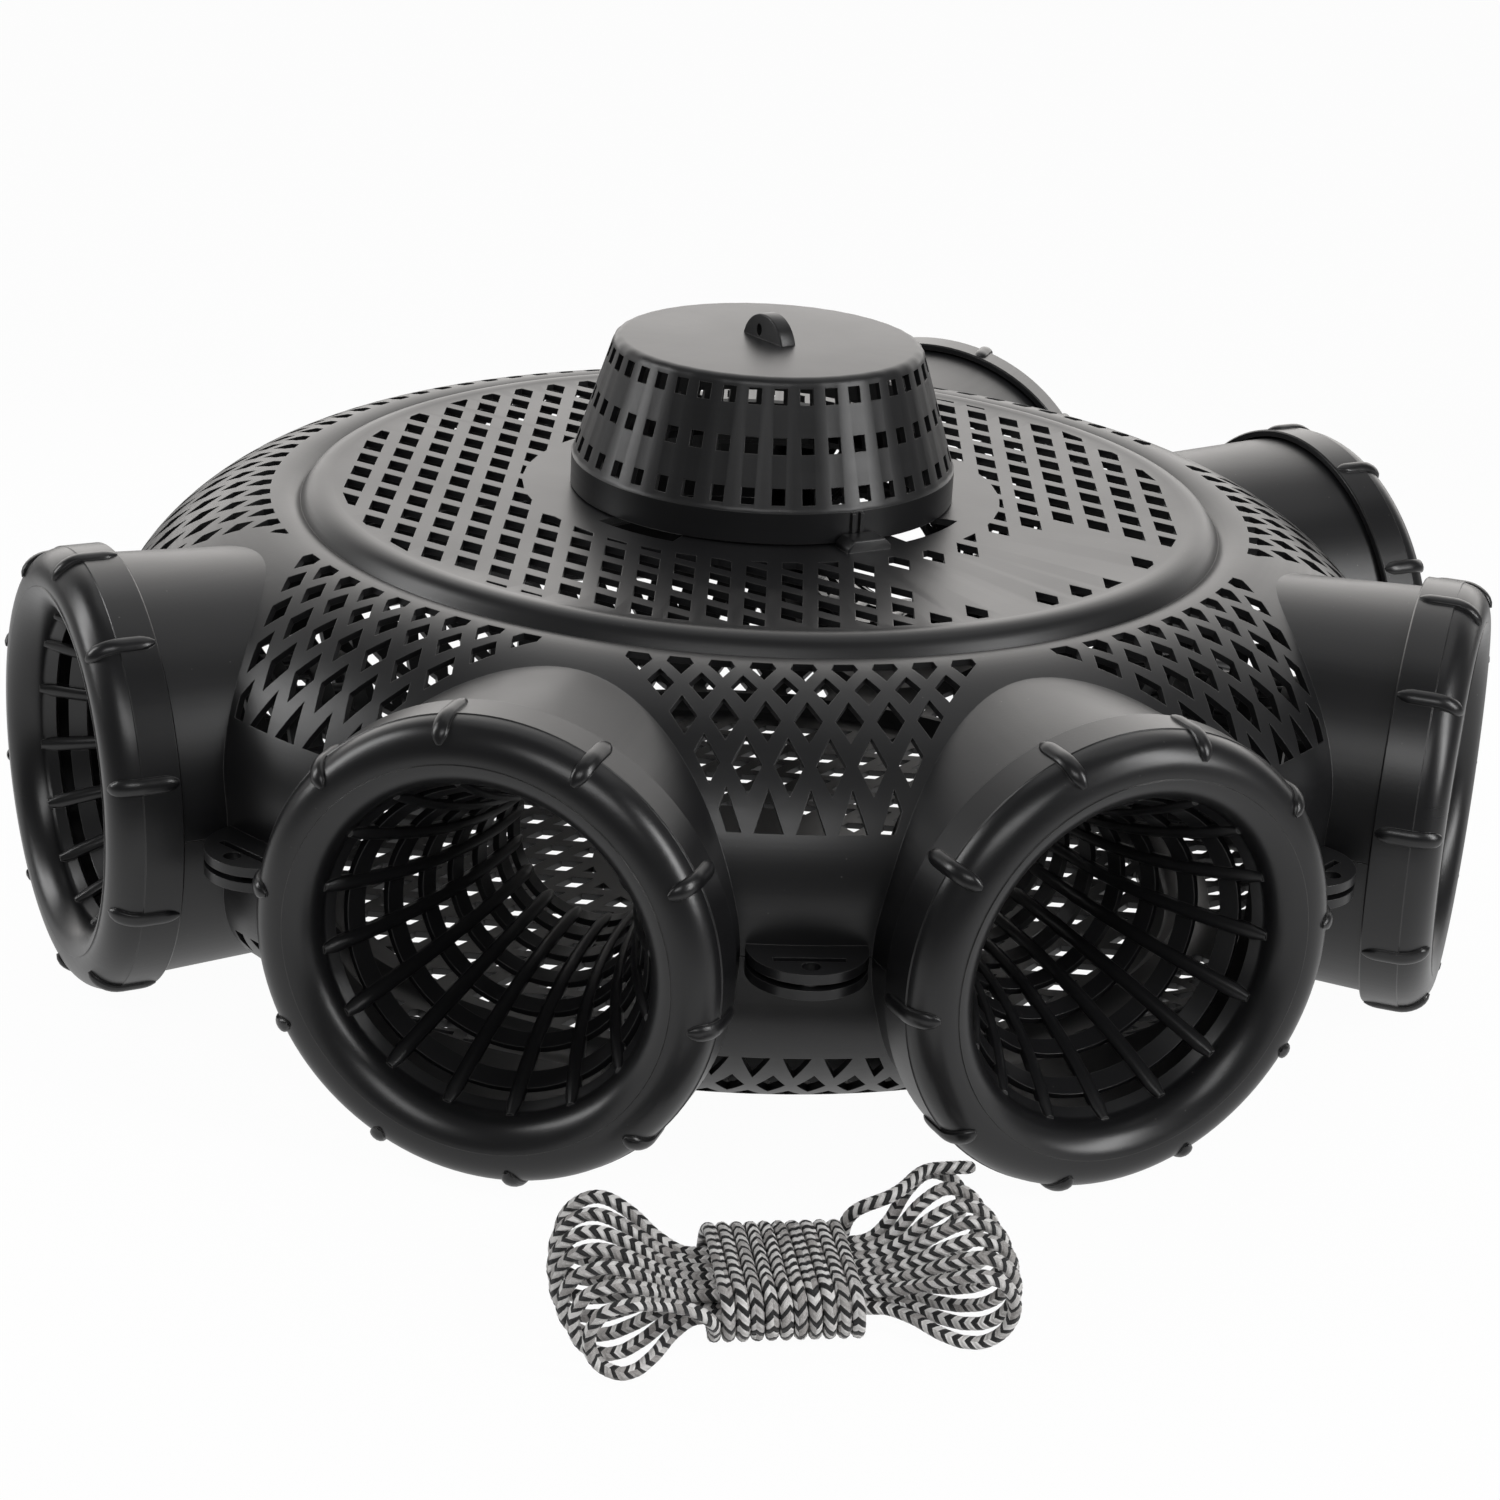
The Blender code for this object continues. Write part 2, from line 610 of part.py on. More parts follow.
def funnel_net(group):
    """The net funnel: an open turned sheet without its windows, given a wall."""
    rows = [-RING_WALL, FUNNEL_BAND_WIDTH]
    window = (FUNNEL_LENGTH - 2.0 * FUNNEL_BAND_WIDTH) / FUNNEL_WINDOW_ROWS
    for i in range(FUNNEL_WINDOW_ROWS):
        rows.append(FUNNEL_BAND_WIDTH + (i + 1) * window - FUNNEL_BAND_WIDTH / 2.0)
        rows.append(FUNNEL_BAND_WIDTH + (i + 1) * window + FUNNEL_BAND_WIDTH / 2.0)
    rows[-1] = FUNNEL_LENGTH
    bm = bmesh.new()
    rings = []
    inset = (RING_WALL - FUNNEL_WALL) / 2.0
    for depth in rows:
        radius = funnel_radius(max(depth, 0.0)) + inset
        half_rib = FUNNEL_RIB_WIDTH / 2.0 / radius
        ring = []
        for rib in range(FUNNEL_RIBS):
            middle = rib * 2.0 * math.pi / FUNNEL_RIBS
            for angle in (middle - half_rib, middle + half_rib):
                ring.append(bm.verts.new((radius * math.cos(angle), radius * math.sin(angle), -depth)))
        rings.append(ring)
    count = 2 * FUNNEL_RIBS
    for r in range(len(rows) - 1):
        band = r % 2 == 0
        for c in range(count):
            if band or c % 2 == 0:
                after = (c + 1) % count
                bm.faces.new((rings[r][c], rings[r][after], rings[r + 1][after], rings[r + 1][c]))
    net = object_from_bmesh("funnel_net", bm, group, closed=False)
    wall = net.modifiers.new("wall", "SOLIDIFY")
    wall.thickness = FUNNEL_WALL
    wall.offset = -1.0
    wall.use_even_offset = True
    return cutter(applied(net))


def ring_pattern(cutters):
    """One entrance ring with its axis on Z, the lip's middle at height 0 and its mouth up."""
    line = [Vector((RING_RADIUS, -SKIRT_LENGTH)), Vector((RING_RADIUS, 0.0))]
    centre = RING_RADIUS - LIP_RADIUS
    for i in range(1, LIP_STEPS + 1):
        angle = i * math.pi / LIP_STEPS
        line.append(Vector((centre + LIP_RADIUS * math.cos(angle), LIP_RADIUS * math.sin(angle))))
    ring = turned("ring_pattern", line[::-1], RING_SEGMENTS, cutters)
    wall = ring.modifiers.new("wall", "SOLIDIFY")
    wall.thickness = RING_WALL
    wall.offset = -1.0
    wall.use_even_offset = True
    combined(ring, funnel_net(cutters), "UNION")
    flattened(ring)
    return cutter(applied(ring))


def entrance_rings(group, cutters, material):
    pattern = ring_pattern(cutters)
    pattern.data.materials.append(material)
    for name, place in ENTRANCES.items():
        azimuth = place * PLACE_ANGLE
        seat = bpy.data.objects.new(name + "_seat", None)
        group.objects.link(seat)
        seat.location = outward(azimuth) * (SKIRT_BACK + SKIRT_LENGTH) + Vector((0.0, 0.0, SEAM_Z))
        seat.rotation_euler = (90.0 * DEGREE, 0.0, azimuth)
        object_from(name, pattern.data, group).parent = seat


def cap_line():
    """The outside of the bait cap from its top's middle down to its inner flange."""
    corner = Vector((CAP_TOP_RADIUS, CAP_HEIGHT))
    lean = Vector((CAP_RIM_RADIUS, CAP_RIM_HEIGHT))
    slope = (lean - corner).normalized()
    line = [Vector((0.0, CAP_HEIGHT)), corner - Vector((CAP_CORNER, 0.0)), corner + slope * CAP_CORNER]
    for height in reversed(CAP_ROWS):
        for edge in (CAP_SLOT_HEIGHT / 2.0, -CAP_SLOT_HEIGHT / 2.0):
            share = (corner.y - height - edge) / (corner.y - lean.y)
            line.append(corner + (lean - corner) * share)
    line += [lean, Vector((CAP_RIM_RADIUS, FIT_GAP)), Vector((HOOK_INNER, FIT_GAP))]
    return line


def cap_cup(name, group):
    """The slotted cup: a turned sheet without its slots, given a wall."""
    line = cap_line()
    steps = 2 * CAP_COLUMNS
    bm = bmesh.new()
    rings = []
    for point in line[1:]:
        ring = []
        for step in range(steps):
            spot = outward((step + 0.5) * 2.0 * math.pi / steps) * point.x
            ring.append(bm.verts.new((spot.x, spot.y, point.y)))
        rings.append(ring)
    bm.faces.new(rings[0])
    first_slot = 1
    for r in range(len(rings) - 1):
        slotted = first_slot <= r < first_slot + 2 * len(CAP_ROWS) and (r - first_slot) % 2 == 1
        for c in range(steps):
            if slotted and c % 2:
                continue
            after = (c + 1) % steps
            bm.faces.new((rings[r][c], rings[r + 1][c], rings[r + 1][after], rings[r][after]))
    cup = object_from_bmesh(name, bm, group, closed=False)
    wall = cup.modifiers.new("wall", "SOLIDIFY")
    wall.thickness = CAP_WALL
    wall.offset = -1.0
    wall.use_even_offset = True
    return cup


def cap_hooks(group):
    """Four bayonet hooks: a leg through the opening and a foot under the flat top."""
    bm = bmesh.new()
    top = FIT_GAP + CAP_WALL / 2.0
    under = -WALL - FIT_GAP
    section = [(HOOK_INNER, top), (HOOK_OUTER, top), (HOOK_OUTER, under), (FOOT_OUTER, under),
               (FOOT_OUTER, under - HOOK_THICKNESS), (HOOK_INNER, under - HOOK_THICKNESS)]
    for hook in range(HOOKS):
        middle = HOOK_TURN + hook * 2.0 * math.pi / HOOKS
        add_sector(bm, section, middle - HOOK_ANGLE / 2.0, middle + HOOK_ANGLE / 2.0, HOOK_STEPS)
    return cutter(object_from_bmesh("cap_hooks", bm, group))


def finger_tab(group):
    """Upright half-round tab on the cap's top, its long side at the azimuth TAB_TURN, with its hole."""
    half = TAB_LENGTH / 2.0
    radius = (half ** 2 + TAB_HEIGHT ** 2) / (2.0 * TAB_HEIGHT)
    sunk = CAP_WALL / 2.0
    bm = bmesh.new()
    bmesh.ops.create_circle(bm, cap_ends=True, segments=TAB_SEGMENTS, radius=radius)
    bmesh.ops.translate(bm, verts=bm.verts, vec=(0.0, TAB_HEIGHT - radius, 0.0))
    bmesh.ops.bisect_plane(bm, geom=bm.verts[:] + bm.edges[:] + bm.faces[:], plane_co=(0, -sunk, 0),
                           plane_no=(0, -1, 0), clear_outer=True)
    grown = bmesh.ops.extrude_face_region(bm, geom=bm.faces[:])
    moved = [item for item in grown["geom"] if isinstance(item, bmesh.types.BMVert)]
    bmesh.ops.translate(bm, verts=moved, vec=(0.0, 0.0, TAB_THICKNESS))
    upright = Matrix.Rotation(TAB_TURN - math.pi / 2.0, 4, "Z") @ Matrix.Rotation(math.pi / 2.0, 4, "X")
    place = (Matrix.Translation((0.0, 0.0, CAP_HEIGHT)) @ upright
             @ Matrix.Translation((0.0, 0.0, -TAB_THICKNESS / 2.0)))
    bmesh.ops.transform(bm, matrix=place, verts=bm.verts)
    tab = cutter(object_from_bmesh("finger_tab", bm, group))
    bm = bmesh.new()
    spot = (place @ Matrix.Translation((-TAB_HOLE_OFFSET, TAB_HOLE_RISE, 0.0))
            @ Matrix.Scale(TAB_HOLE_WIDTH / TAB_HOLE_HEIGHT, 4, (1, 0, 0)))
    add_cylinder(bm, TAB_HOLE_HEIGHT / 2.0, 4.0 * TAB_THICKNESS, TAB_HOLE_SEGMENTS, spot)
    hole = cutter(object_from_bmesh("tab_hole", bm, group))
    return tab, hole


def bait_cap(group, cutters, material):
    cap = cap_cup("bait_cap", group)
    combined(cap, cap_hooks(cutters), "UNION")
    tab, hole = finger_tab(cutters)
    combined(cap, tab, "UNION")
    combined(cap, hole, "DIFFERENCE")
    applied(cap)
    cap.location.z = SEAM_Z + SHELL_HEIGHT
    cap.data.materials.append(material)
    return cap


def smooth_step(value):
    value = min(max(value, 0.0), 1.0)
    return value * value * (3.0 - 2.0 * value)


class Hank:
    """Route of the rope: loops side by side, drawn in at the waist, then wraps round the waist."""

    def __init__(self):
        self.middle = HANK_LOOPS / 2.0
        self.layer_half = ROPE_RADIUS + LAYER_GAP / 2.0
        self.wrap_half_length = WRAP_TURNS * WRAP_PITCH / 2.0
        self.waist_end = self.wrap_half_length + ROPE_DIAMETER
        chord = math.cos(math.pi / (WRAP_POINTS - 2))
        clear = WRAP_BEND_RADIUS * chord - WRAP_PITCH
        bundle = self.middle * WAIST_PITCH
        self.wrap_arc_centre = bundle - math.sqrt(clear ** 2 - self.layer_half ** 2)
        self.wrap_half_width = self.wrap_arc_centre + WRAP_BEND_RADIUS
        self.waist_z = WRAP_BEND_RADIUS + ROPE_RADIUS + FLOOR_LIFT
        self.lobe_z = FOLD_RADIUS + ROPE_RADIUS + FLOOR_LIFT

    def fold_start(self, column):
        """Distance from the waist's middle at which a column's fold begins."""
        share = (column - self.middle) / self.middle
        return HANK_HALF_LENGTH - ROPE_RADIUS - FOLD_RADIUS - HANK_CROWN * share ** 2

    def spread(self, x, column):
        start = self.fold_start(column)
        return smooth_step((abs(x) - self.waist_end) / (start - self.waist_end))

    def run_point(self, x, column, layer, fold_column):
        """Point of a run: layer is 1 above and -1 below."""
        spread = self.spread(x, fold_column)
        pitch = WAIST_PITCH + (LOBE_PITCH - WAIST_PITCH) * spread
        half = self.layer_half + (FOLD_RADIUS - self.layer_half) * spread
        height = self.waist_z + (self.lobe_z - self.waist_z) * spread
        return Vector((x, (self.middle - column) * pitch, height + layer * half))

    def run_places(self, start, end):
        """Places along a run between two folds: the flanks and the ends of the waist."""
        places = []
        for fold, sign in ((start, 1.0), (end, -1.0)):
            flank = [fold + (math.copysign(self.waist_end, fold) - fold) * (i + 1) / (FLANK_POINTS + 1)
                     for i in range(FLANK_POINTS + 1)]
            places += flank if sign > 0.0 else flank[::-1]
        return places

    def fold(self, column, side):
        """Half circle at one end; side is 1 at the right, going down, and -1 at the left, going up."""
        points = []
        start = self.fold_start(column)
        y = (self.middle - column) * LOBE_PITCH
        for i in range(FOLD_POINTS):
            angle = math.pi * i / (FOLD_POINTS - 1)
            points.append(Vector((side * (start + FOLD_RADIUS * math.sin(angle)), y,
                                  self.lobe_z + side * FOLD_RADIUS * math.cos(angle))))
        return points

    def loops(self):
        points = [self.run_point(0.0, 0, 1.0, 0), self.run_point(self.waist_end / 2.0, 0, 1.0, 0)]
        for column in range(HANK_LOOPS):
            right = self.fold_start(column)
            left = -self.fold_start(column + 1)
            if column:
                points += [self.run_point(x, column, 1.0, column)
                           for x in self.run_places(-self.fold_start(column), right)]
            else:
                points += [self.run_point(x, 0, 1.0, 0)
                           for x in self.run_places(-right, right)[FLANK_POINTS + 1:]]
            points += self.fold(column, 1.0)
            for x in self.run_places(right, left):
                share = (right - x) / (right - left)
                points.append(self.run_point(x, column + share, -1.0, column if x > 0.0 else column + 1))
            points += self.fold(column + 1, -1.0)
        start = self.fold_start(HANK_LOOPS)
        points += [self.run_point(x, HANK_LOOPS, 1.0, HANK_LOOPS)
                   for x in self.run_places(-start, start)[:FLANK_POINTS - 1]]
        return points

    def wraps(self):
        """Turns round the waist: down the near side, under, up the far side and over the top."""
        points = []
        half = WRAP_POINTS // 2
        for i in range(WRAP_TURNS * WRAP_POINTS - half + 1):
            share = (i + half / 2.0) % WRAP_POINTS
            turn = min((share % half) / (half - 1), 1.0)
            angle = math.pi * (turn - 0.5)
            x = -self.wrap_half_length + WRAP_PITCH * (i + 0.5) / WRAP_POINTS
            side = -1.0 if share < half else 1.0
            points.append(Vector((x, side * (self.wrap_arc_centre + WRAP_BEND_RADIUS * math.cos(angle)),
                                  self.waist_z + side * WRAP_BEND_RADIUS * math.sin(angle))))
        return points

    def tail(self):
        """The loose end over the right lobe, above its far strand."""
        points = []
        column = 0.5
        for i in range(TAIL_POINTS):
            x = self.waist_end + ROPE_DIAMETER + TAIL_LENGTH * (i + 1) / TAIL_POINTS
            point = self.run_point(x, column, 1.0, 0)
            point.z = self.run_point(max(x, self.waist_end + TAIL_LENGTH / 2.0), 0, 1.0, 0).z + WRAP_PITCH
            points.append(point)
        return points


def bent_link(start, start_direction, end, end_direction):
    """Points inside a smooth curve that leaves and arrives in given directions."""
    first = start + start_direction.normalized() * LINK_REACH
    second = end - end_direction.normalized() * LINK_REACH
    points = []
    for i in range(1, LINK_POINTS + 1):
        t = i / (LINK_POINTS + 1)
        rest = 1.0 - t
        points.append(start * rest ** 3 + first * (3.0 * rest ** 2 * t)
                      + second * (3.0 * rest * t ** 2) + end * t ** 3)
    return points


def hank_route():
    hank = Hank()
    loops = hank.loops()
    wraps = hank.wraps()
    tail = hank.tail()
    into = bent_link(loops[-1], loops[-1] - loops[-2], wraps[0], wraps[1] - wraps[0])
    out = bent_link(wraps[-1], wraps[-1] - wraps[-2], tail[0], tail[1] - tail[0])
    return loops + into + wraps + out + tail


def least_gap(points, diameter):
    """Least gap of a tube to itself, between places over four diameters apart, and its length."""
    dense = []
    for before, after in zip(points, points[1:]):
        steps = max(2, math.ceil((after - before).length / (diameter / 4.0)))
        dense += [before.lerp(after, i / steps) for i in range(steps)]
    spots = np.array([tuple(p) for p in dense])
    run = np.concatenate(([0.0], np.cumsum(np.linalg.norm(np.diff(spots, axis=0), axis=1))))
    least = math.inf
    for i in range(len(spots)):
        far = run > run[i] + 4.0 * diameter
        if far.any():
            least = min(least, np.linalg.norm(spots[far] - spots[i], axis=1).min())
    return least - diameter, run[-1]


def rope_hank(group, material):
    points = hank_route()
    gap, length = least_gap(points, ROPE_DIAMETER)
    print(f"rope_hank: least gap to itself {gap / MM:.2f} mm, length {length:.3f} m, {len(points)} points")
    curve = bpy.data.curves.new("rope_hank", "CURVE")
    curve.dimensions = "3D"
    curve.bevel_depth = ROPE_RADIUS
    curve.bevel_resolution = 1
    curve.use_fill_caps = True
    spline = curve.splines.new("POLY")
    spline.points.add(len(points) - 1)
    for spot, point in zip(spline.points, points):
        spot.co = (*point, 1.0)
    rope = object_from("rope_hank", curve, group)
    rope.location = HANK_PLACE
    rope.rotation_euler.z = HANK_TURN
    curve.materials.append(material)
    return rope


def main():
    for old in list(bpy.data.objects):
        bpy.data.objects.remove(old, do_unlink=True)
    trap = collection("crayfish_trap")
    cutters = collection("cutters")
    black = plastic("black_plastic", BLACK_PLASTIC, PLASTIC_ROUGHNESS)
    half_shell("upper_shell", False, trap, cutters, black)
    half_shell("lower_shell", True, trap, cutters, black)
    entrance_rings(trap, cutters, black)
    bait_cap(trap, cutters, black)
    rope_hank(trap, plastic("braided_rope", ROPE_GREY, ROPE_ROUGHNESS))


main()
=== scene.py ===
"""Crayfish trap with its hank of rope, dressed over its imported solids.

Two lattice half shells, six entrance rings with net funnels, a slotted bait cap and a braided rope.
The origin is the trap's axis at the floor and +Z is up. An azimuth is 0 along -Y and grows towards +X.
"""
import math
from bisect import bisect_right

import bmesh
import bpy
import numpy as np
from bpy.props import FloatProperty, FloatVectorProperty, IntProperty, PointerProperty
from mathutils import Matrix, Vector


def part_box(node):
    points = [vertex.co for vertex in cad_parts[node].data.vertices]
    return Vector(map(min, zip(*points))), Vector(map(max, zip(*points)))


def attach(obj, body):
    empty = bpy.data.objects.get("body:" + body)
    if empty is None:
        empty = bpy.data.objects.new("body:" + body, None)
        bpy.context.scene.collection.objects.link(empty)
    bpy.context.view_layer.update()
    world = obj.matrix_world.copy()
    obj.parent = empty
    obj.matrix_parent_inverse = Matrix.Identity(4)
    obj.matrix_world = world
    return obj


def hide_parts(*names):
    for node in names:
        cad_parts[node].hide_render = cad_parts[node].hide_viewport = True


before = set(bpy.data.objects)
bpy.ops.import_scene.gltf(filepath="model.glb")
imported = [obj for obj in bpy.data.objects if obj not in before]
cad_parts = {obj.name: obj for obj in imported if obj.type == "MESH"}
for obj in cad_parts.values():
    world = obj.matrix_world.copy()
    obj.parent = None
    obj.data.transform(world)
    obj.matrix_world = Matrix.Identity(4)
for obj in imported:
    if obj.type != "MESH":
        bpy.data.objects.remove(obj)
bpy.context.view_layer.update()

bl_info = {
    "name": "Crayfish Trap",
    "version": (1, 0, 0),
    "blender": (4, 5, 0),
    "location": "View3D > Sidebar > Crayfish Trap",
    "description": "Builds a lattice crayfish trap with net funnels, a bait cap and a hank of rope",
    "category": "Add Mesh",
}

MM = 0.001
DEGREE = math.pi / 180.0
FULL_TURN = 2.0 * math.pi

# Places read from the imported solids
RING_LOW, RING_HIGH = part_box("entrance_front")
FLOOR_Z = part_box("lower_shell")[0].z
SEAM_Z = (RING_LOW.z + RING_HIGH.z) / 2.0
SHELL_HEIGHT = SEAM_Z - FLOOR_Z
PLATEAU_Z = SEAM_Z + SHELL_HEIGHT
RING_RADIUS = (RING_HIGH.x - RING_LOW.x) / 2.0
LIP_FRONT = -RING_LOW.y

# Layout of the body
PLACES = 8
PLACE_ANGLE = FULL_TURN / PLACES
# Place of each entrance ring, and its own turn in degrees
ENTRANCES = {
    "entrance_front": (0, -7.5),
    "entrance_front_right": (1, 3.5),
    "entrance_right": (2, -9.5),
    "entrance_back_right": (3, 4.0),
    "entrance_back": (4, -2.0),
    "entrance_front_left": (7, 16.5),
}

SHELL_SEGMENTS = 240
NECK_SEGMENTS = 128
NECK_RINGS = 18
RING_SEGMENTS = 128
CAP_SEGMENTS = 160

UP = Vector((0.0, 0.0, 1.0))
TIPPED = Matrix.Rotation(math.pi / 2.0, 4, "X")


def outward(azimuth):
    """Level unit vector that points away from the trap's axis."""
    return Vector((math.sin(azimuth), -math.cos(azimuth), 0.0))


def sideways(azimuth):
    """Level unit vector square to outward, towards a growing azimuth."""
    return Vector((math.cos(azimuth), math.sin(azimuth), 0.0))


def stood(out, spot):
    """A (radius, height) point or direction in the upright plane of a level unit vector."""
    return out * spot[0] + UP * spot[1]


def turned(angle):
    """Turn about the trap's axis."""
    return Matrix.Rotation(angle, 4, "Z")


def spaced(first, last, steps):
    """Evenly spaced values from first to last, both included."""
    return [first + (last - first) * i / steps for i in range(steps + 1)]


def bezier(handles, share):
    """Point of a cubic curve with four handles."""
    first, second, third, fourth = handles
    rest = 1.0 - share
    return (first * rest ** 3 + second * (3.0 * rest ** 2 * share)
            + third * (3.0 * rest * share ** 2) + fourth * share ** 3)


# Settings that a user would change

def length_setting(name, millimetres, description):
    """Length that a user may change, given here in millimetres."""
    return FloatProperty(name=name, description=description, default=millimetres * MM, min=0.0,
                         subtype="DISTANCE", unit="LENGTH", precision=4)


def angle_setting(name, degrees, description):
    """Angle that a user may change, given here in degrees."""
    return FloatProperty(name=name, description=description, default=degrees * DEGREE,
                         subtype="ANGLE", unit="ROTATION")


def colour_setting(name, default, description):
    """Colour that a user may change."""
    return FloatVectorProperty(name=name, description=description, default=default, size=3, min=0.0,
                               max=1.0, subtype="COLOR")


class TrapShellSettings(bpy.types.PropertyGroup):
    wall: length_setting("Wall", 2.4, "Thickness of the half shells")
    body_radius: length_setting("Body radius", 229.2, "Radius of the plain band at the seam")
    band_height: length_setting("Band height", 14.5, "Height of the upright band above the seam")
    plateau_radius: length_setting("Flat top radius", 150.0, "Radius of the flat lattice top")
    groove_radius: length_setting("Groove radius", 162.5, "Radius of the groove between top and dome")
    groove_depth: length_setting("Groove depth", 5.9, "Depth of the groove below the flat top")
    seam_gap: length_setting("Seam gap", 0.3, "Gap between the two half shells")
    neck_reach: length_setting("Neck reach", 13.8, "How far a neck stands out of the body")
    neck_radius: length_setting("Neck radius", 67.0, "Outside of a neck inside the dome")
    neck_end_radius: length_setting("Neck end radius", 70.4, "Outside of a neck under the ring's skirt")
    lug_radius: length_setting("Lug radius", 18.2, "Radius of the half-round lugs")
    lug_reach: length_setting("Lug reach", 19.7, "How far a lug stands out of the body")
    lug_thickness: length_setting("Lug thickness", 3.1, "Thickness of one lug")
    lug_pair_gap: length_setting("Lug gap", 1.9, "Gap between the two lugs of a pair")
    plate_turn: angle_setting("Top lattice turn", 17.3, "Turn of the flat lattice about the axis")
    plate_skew: angle_setting("Top lattice skew", 32.0, "Fall of the crossing bars")
    plate_column: length_setting("Top column pitch", 11.8, "Distance between the straight bars")
    plate_row: length_setting("Top row pitch", 16.2, "Distance between crossing bars along a slot")
    plate_bar: length_setting("Top bar width", 4.9, "Width of the bars of the flat lattice")
    plate_collar: length_setting("Collar radius", 85.0, "Plain disc round the bait cap")
    base_disc: length_setting("Base disc radius", 55.0, "Plain disc in the underside")
    dome_column: length_setting("Dome column pitch", 12.45, "Distance between diamonds round the dome")
    neck_margin: length_setting("Neck margin", 2.6, "Plain border between slots and a neck")


class TrapRingSettings(bpy.types.PropertyGroup):
    wall: length_setting("Wall", 2.5, "Thickness of the ring's moulding")
    lip_radius: length_setting("Lip radius", 10.6, "Radius of the half-round lip")
    skirt_length: length_setting("Skirt length", 11.8, "Straight part behind the lip")
    funnel_length: length_setting("Funnel length", 90.6, "Depth of the net funnel")
    funnel_tip: length_setting("Funnel tip radius", 26.6, "Radius at the funnel's inner end")
    funnel_flare: FloatProperty(name="Funnel flare", description="How fast the funnel narrows",
                                default=2.3, min=1.0, max=4.0)
    bars: IntProperty(name="Funnel bars", description="Round bars along the funnel", default=16, min=6)
    bands: IntProperty(name="Funnel bands", description="Flat bands round the funnel", default=6, min=2)
    bar_width: length_setting("Bar width", 5.2, "Width of a funnel bar at the mouth")
    band_width: length_setting("Band width", 5.5, "Width of a funnel band")
    grips: IntProperty(name="Grip ribs", description="Ribs over the lip's shoulder", default=10, min=3)
    grip_width: length_setting("Grip width", 5.2, "Width of a grip rib")
    grip_height: length_setting("Grip height", 1.5, "Height of a grip rib")


class TrapCapSettings(bpy.types.PropertyGroup):
    wall: length_setting("Wall", 2.2, "Thickness of the cap")
    rim_radius: length_setting("Rim radius", 68.0, "Outside of the upright rim")
    rim_height: length_setting("Rim height", 11.8, "Height of the upright rim")
    height: length_setting("Height", 54.4, "Height of the flat top")
    top_radius: length_setting("Top radius", 54.0, "Radius where the cone would meet the top")
    columns: IntProperty(name="Hole columns", description="Holes in each row", default=40, min=8)
    hole_width: length_setting("Hole width", 4.6, "Width of a hole")
    hole_height: length_setting("Hole height", 5.6, "Height of a hole")
    mark_turn: angle_setting("Rim mark", 46.2, "Azimuth of the double rib on the rim")
    tab_turn: angle_setting("Tab turn", 54.0, "Azimuth that the finger tab's long side points to")
    tab_length: length_setting("Tab length", 23.0, "Length of the finger tab")
    tab_height: length_setting("Tab height", 9.0, "Height of the finger tab")
    tab_thickness: length_setting("Tab thickness", 6.2, "Thickness of the finger tab")


class TrapRopeSettings(bpy.types.PropertyGroup):
    diameter: length_setting("Diameter", 3.5, "Diameter of the cord")
    dark: colour_setting("Dark strands", (0.01, 0.01, 0.011), "Colour of the dark strands")
    light: colour_setting("Light strands", (0.92, 0.905, 0.89), "Colour of the light strands")
    grey: colour_setting("Grey strands", (0.34, 0.32, 0.31), "Darker tone of the light strands")
    stitch: length_setting("Stitch", 3.7, "Length of one chevron along the cord")


class TrapFinishSettings(bpy.types.PropertyGroup):
    black: colour_setting("Plastic", (0.008, 0.008, 0.0088), "Colour of the black plastic")
    # This colour serves both the dust specks and the highlight painted on sharp edges
    dust_and_edge_highlight: colour_setting("Dust", (0.15, 0.147, 0.142), "Colour of dust specks and bruised edges")
    roughness: FloatProperty(name="Roughness", description="Roughness of the moulded plastic",
                             default=0.35, min=0.0, max=1.0, subtype="FACTOR")


class TrapStageSettings(bpy.types.PropertyGroup):
    floor: colour_setting("Floor", (0.86, 0.86, 0.86), "Colour of the floor")
    azimuth: angle_setting("Camera azimuth", 17.3, "Azimuth of the camera round the trap")
    elevation: angle_setting("Camera elevation", 17.98, "How far the camera looks down")
    roll: angle_setting("Camera roll", 3.12, "Roll of the camera")
    distance: length_setting("Camera distance", 1058.4, "Level distance from the axis to the camera")
    height: length_setting("Camera height", 471.6, "Height of the camera above the floor")
    lens: FloatProperty(name="Lens", description="Focal length in millimetres", default=74.49, min=10.0)


# Modelling helpers

MERGE_DISTANCE = 0.001 * MM


def linked(name, data):
    """New object in the scene."""
    made = bpy.data.objects.new(name, data)
    bpy.context.scene.collection.objects.link(made)
    return made


def spun(bm, line, segments, matrix=Matrix.Identity(4)):
    """Turn a line of (radius, height) points round Z in a full circle and place it."""
    before = set(bm.verts)
    verts = [bm.verts.new((point[0], 0.0, point[1])) for point in line]
    edges = [bm.edges.new(pair) for pair in zip(verts, verts[1:])]
    bmesh.ops.spin(bm, geom=verts + edges, cent=(0, 0, 0), axis=(0, 0, 1), angle=FULL_TURN,
                   steps=segments, use_merge=True)
    made = [v for v in bm.verts if v not in before]
    bmesh.ops.remove_doubles(bm, verts=made, dist=MERGE_DISTANCE)
    bmesh.ops.transform(bm, matrix=matrix, verts=[v for v in bm.verts if v not in before])


def prism(bm, corners, along, above, below):
    """Closed prism through a flat outline, from above it to below it."""
    face = bm.faces.new([bm.verts.new(corner + along * above) for corner in corners])
    grown = bmesh.ops.extrude_face_region(bm, geom=[face])
    moved = [item for item in grown["geom"] if isinstance(item, bmesh.types.BMVert)]
    bmesh.ops.translate(bm, verts=moved, vec=along * -(above + below))


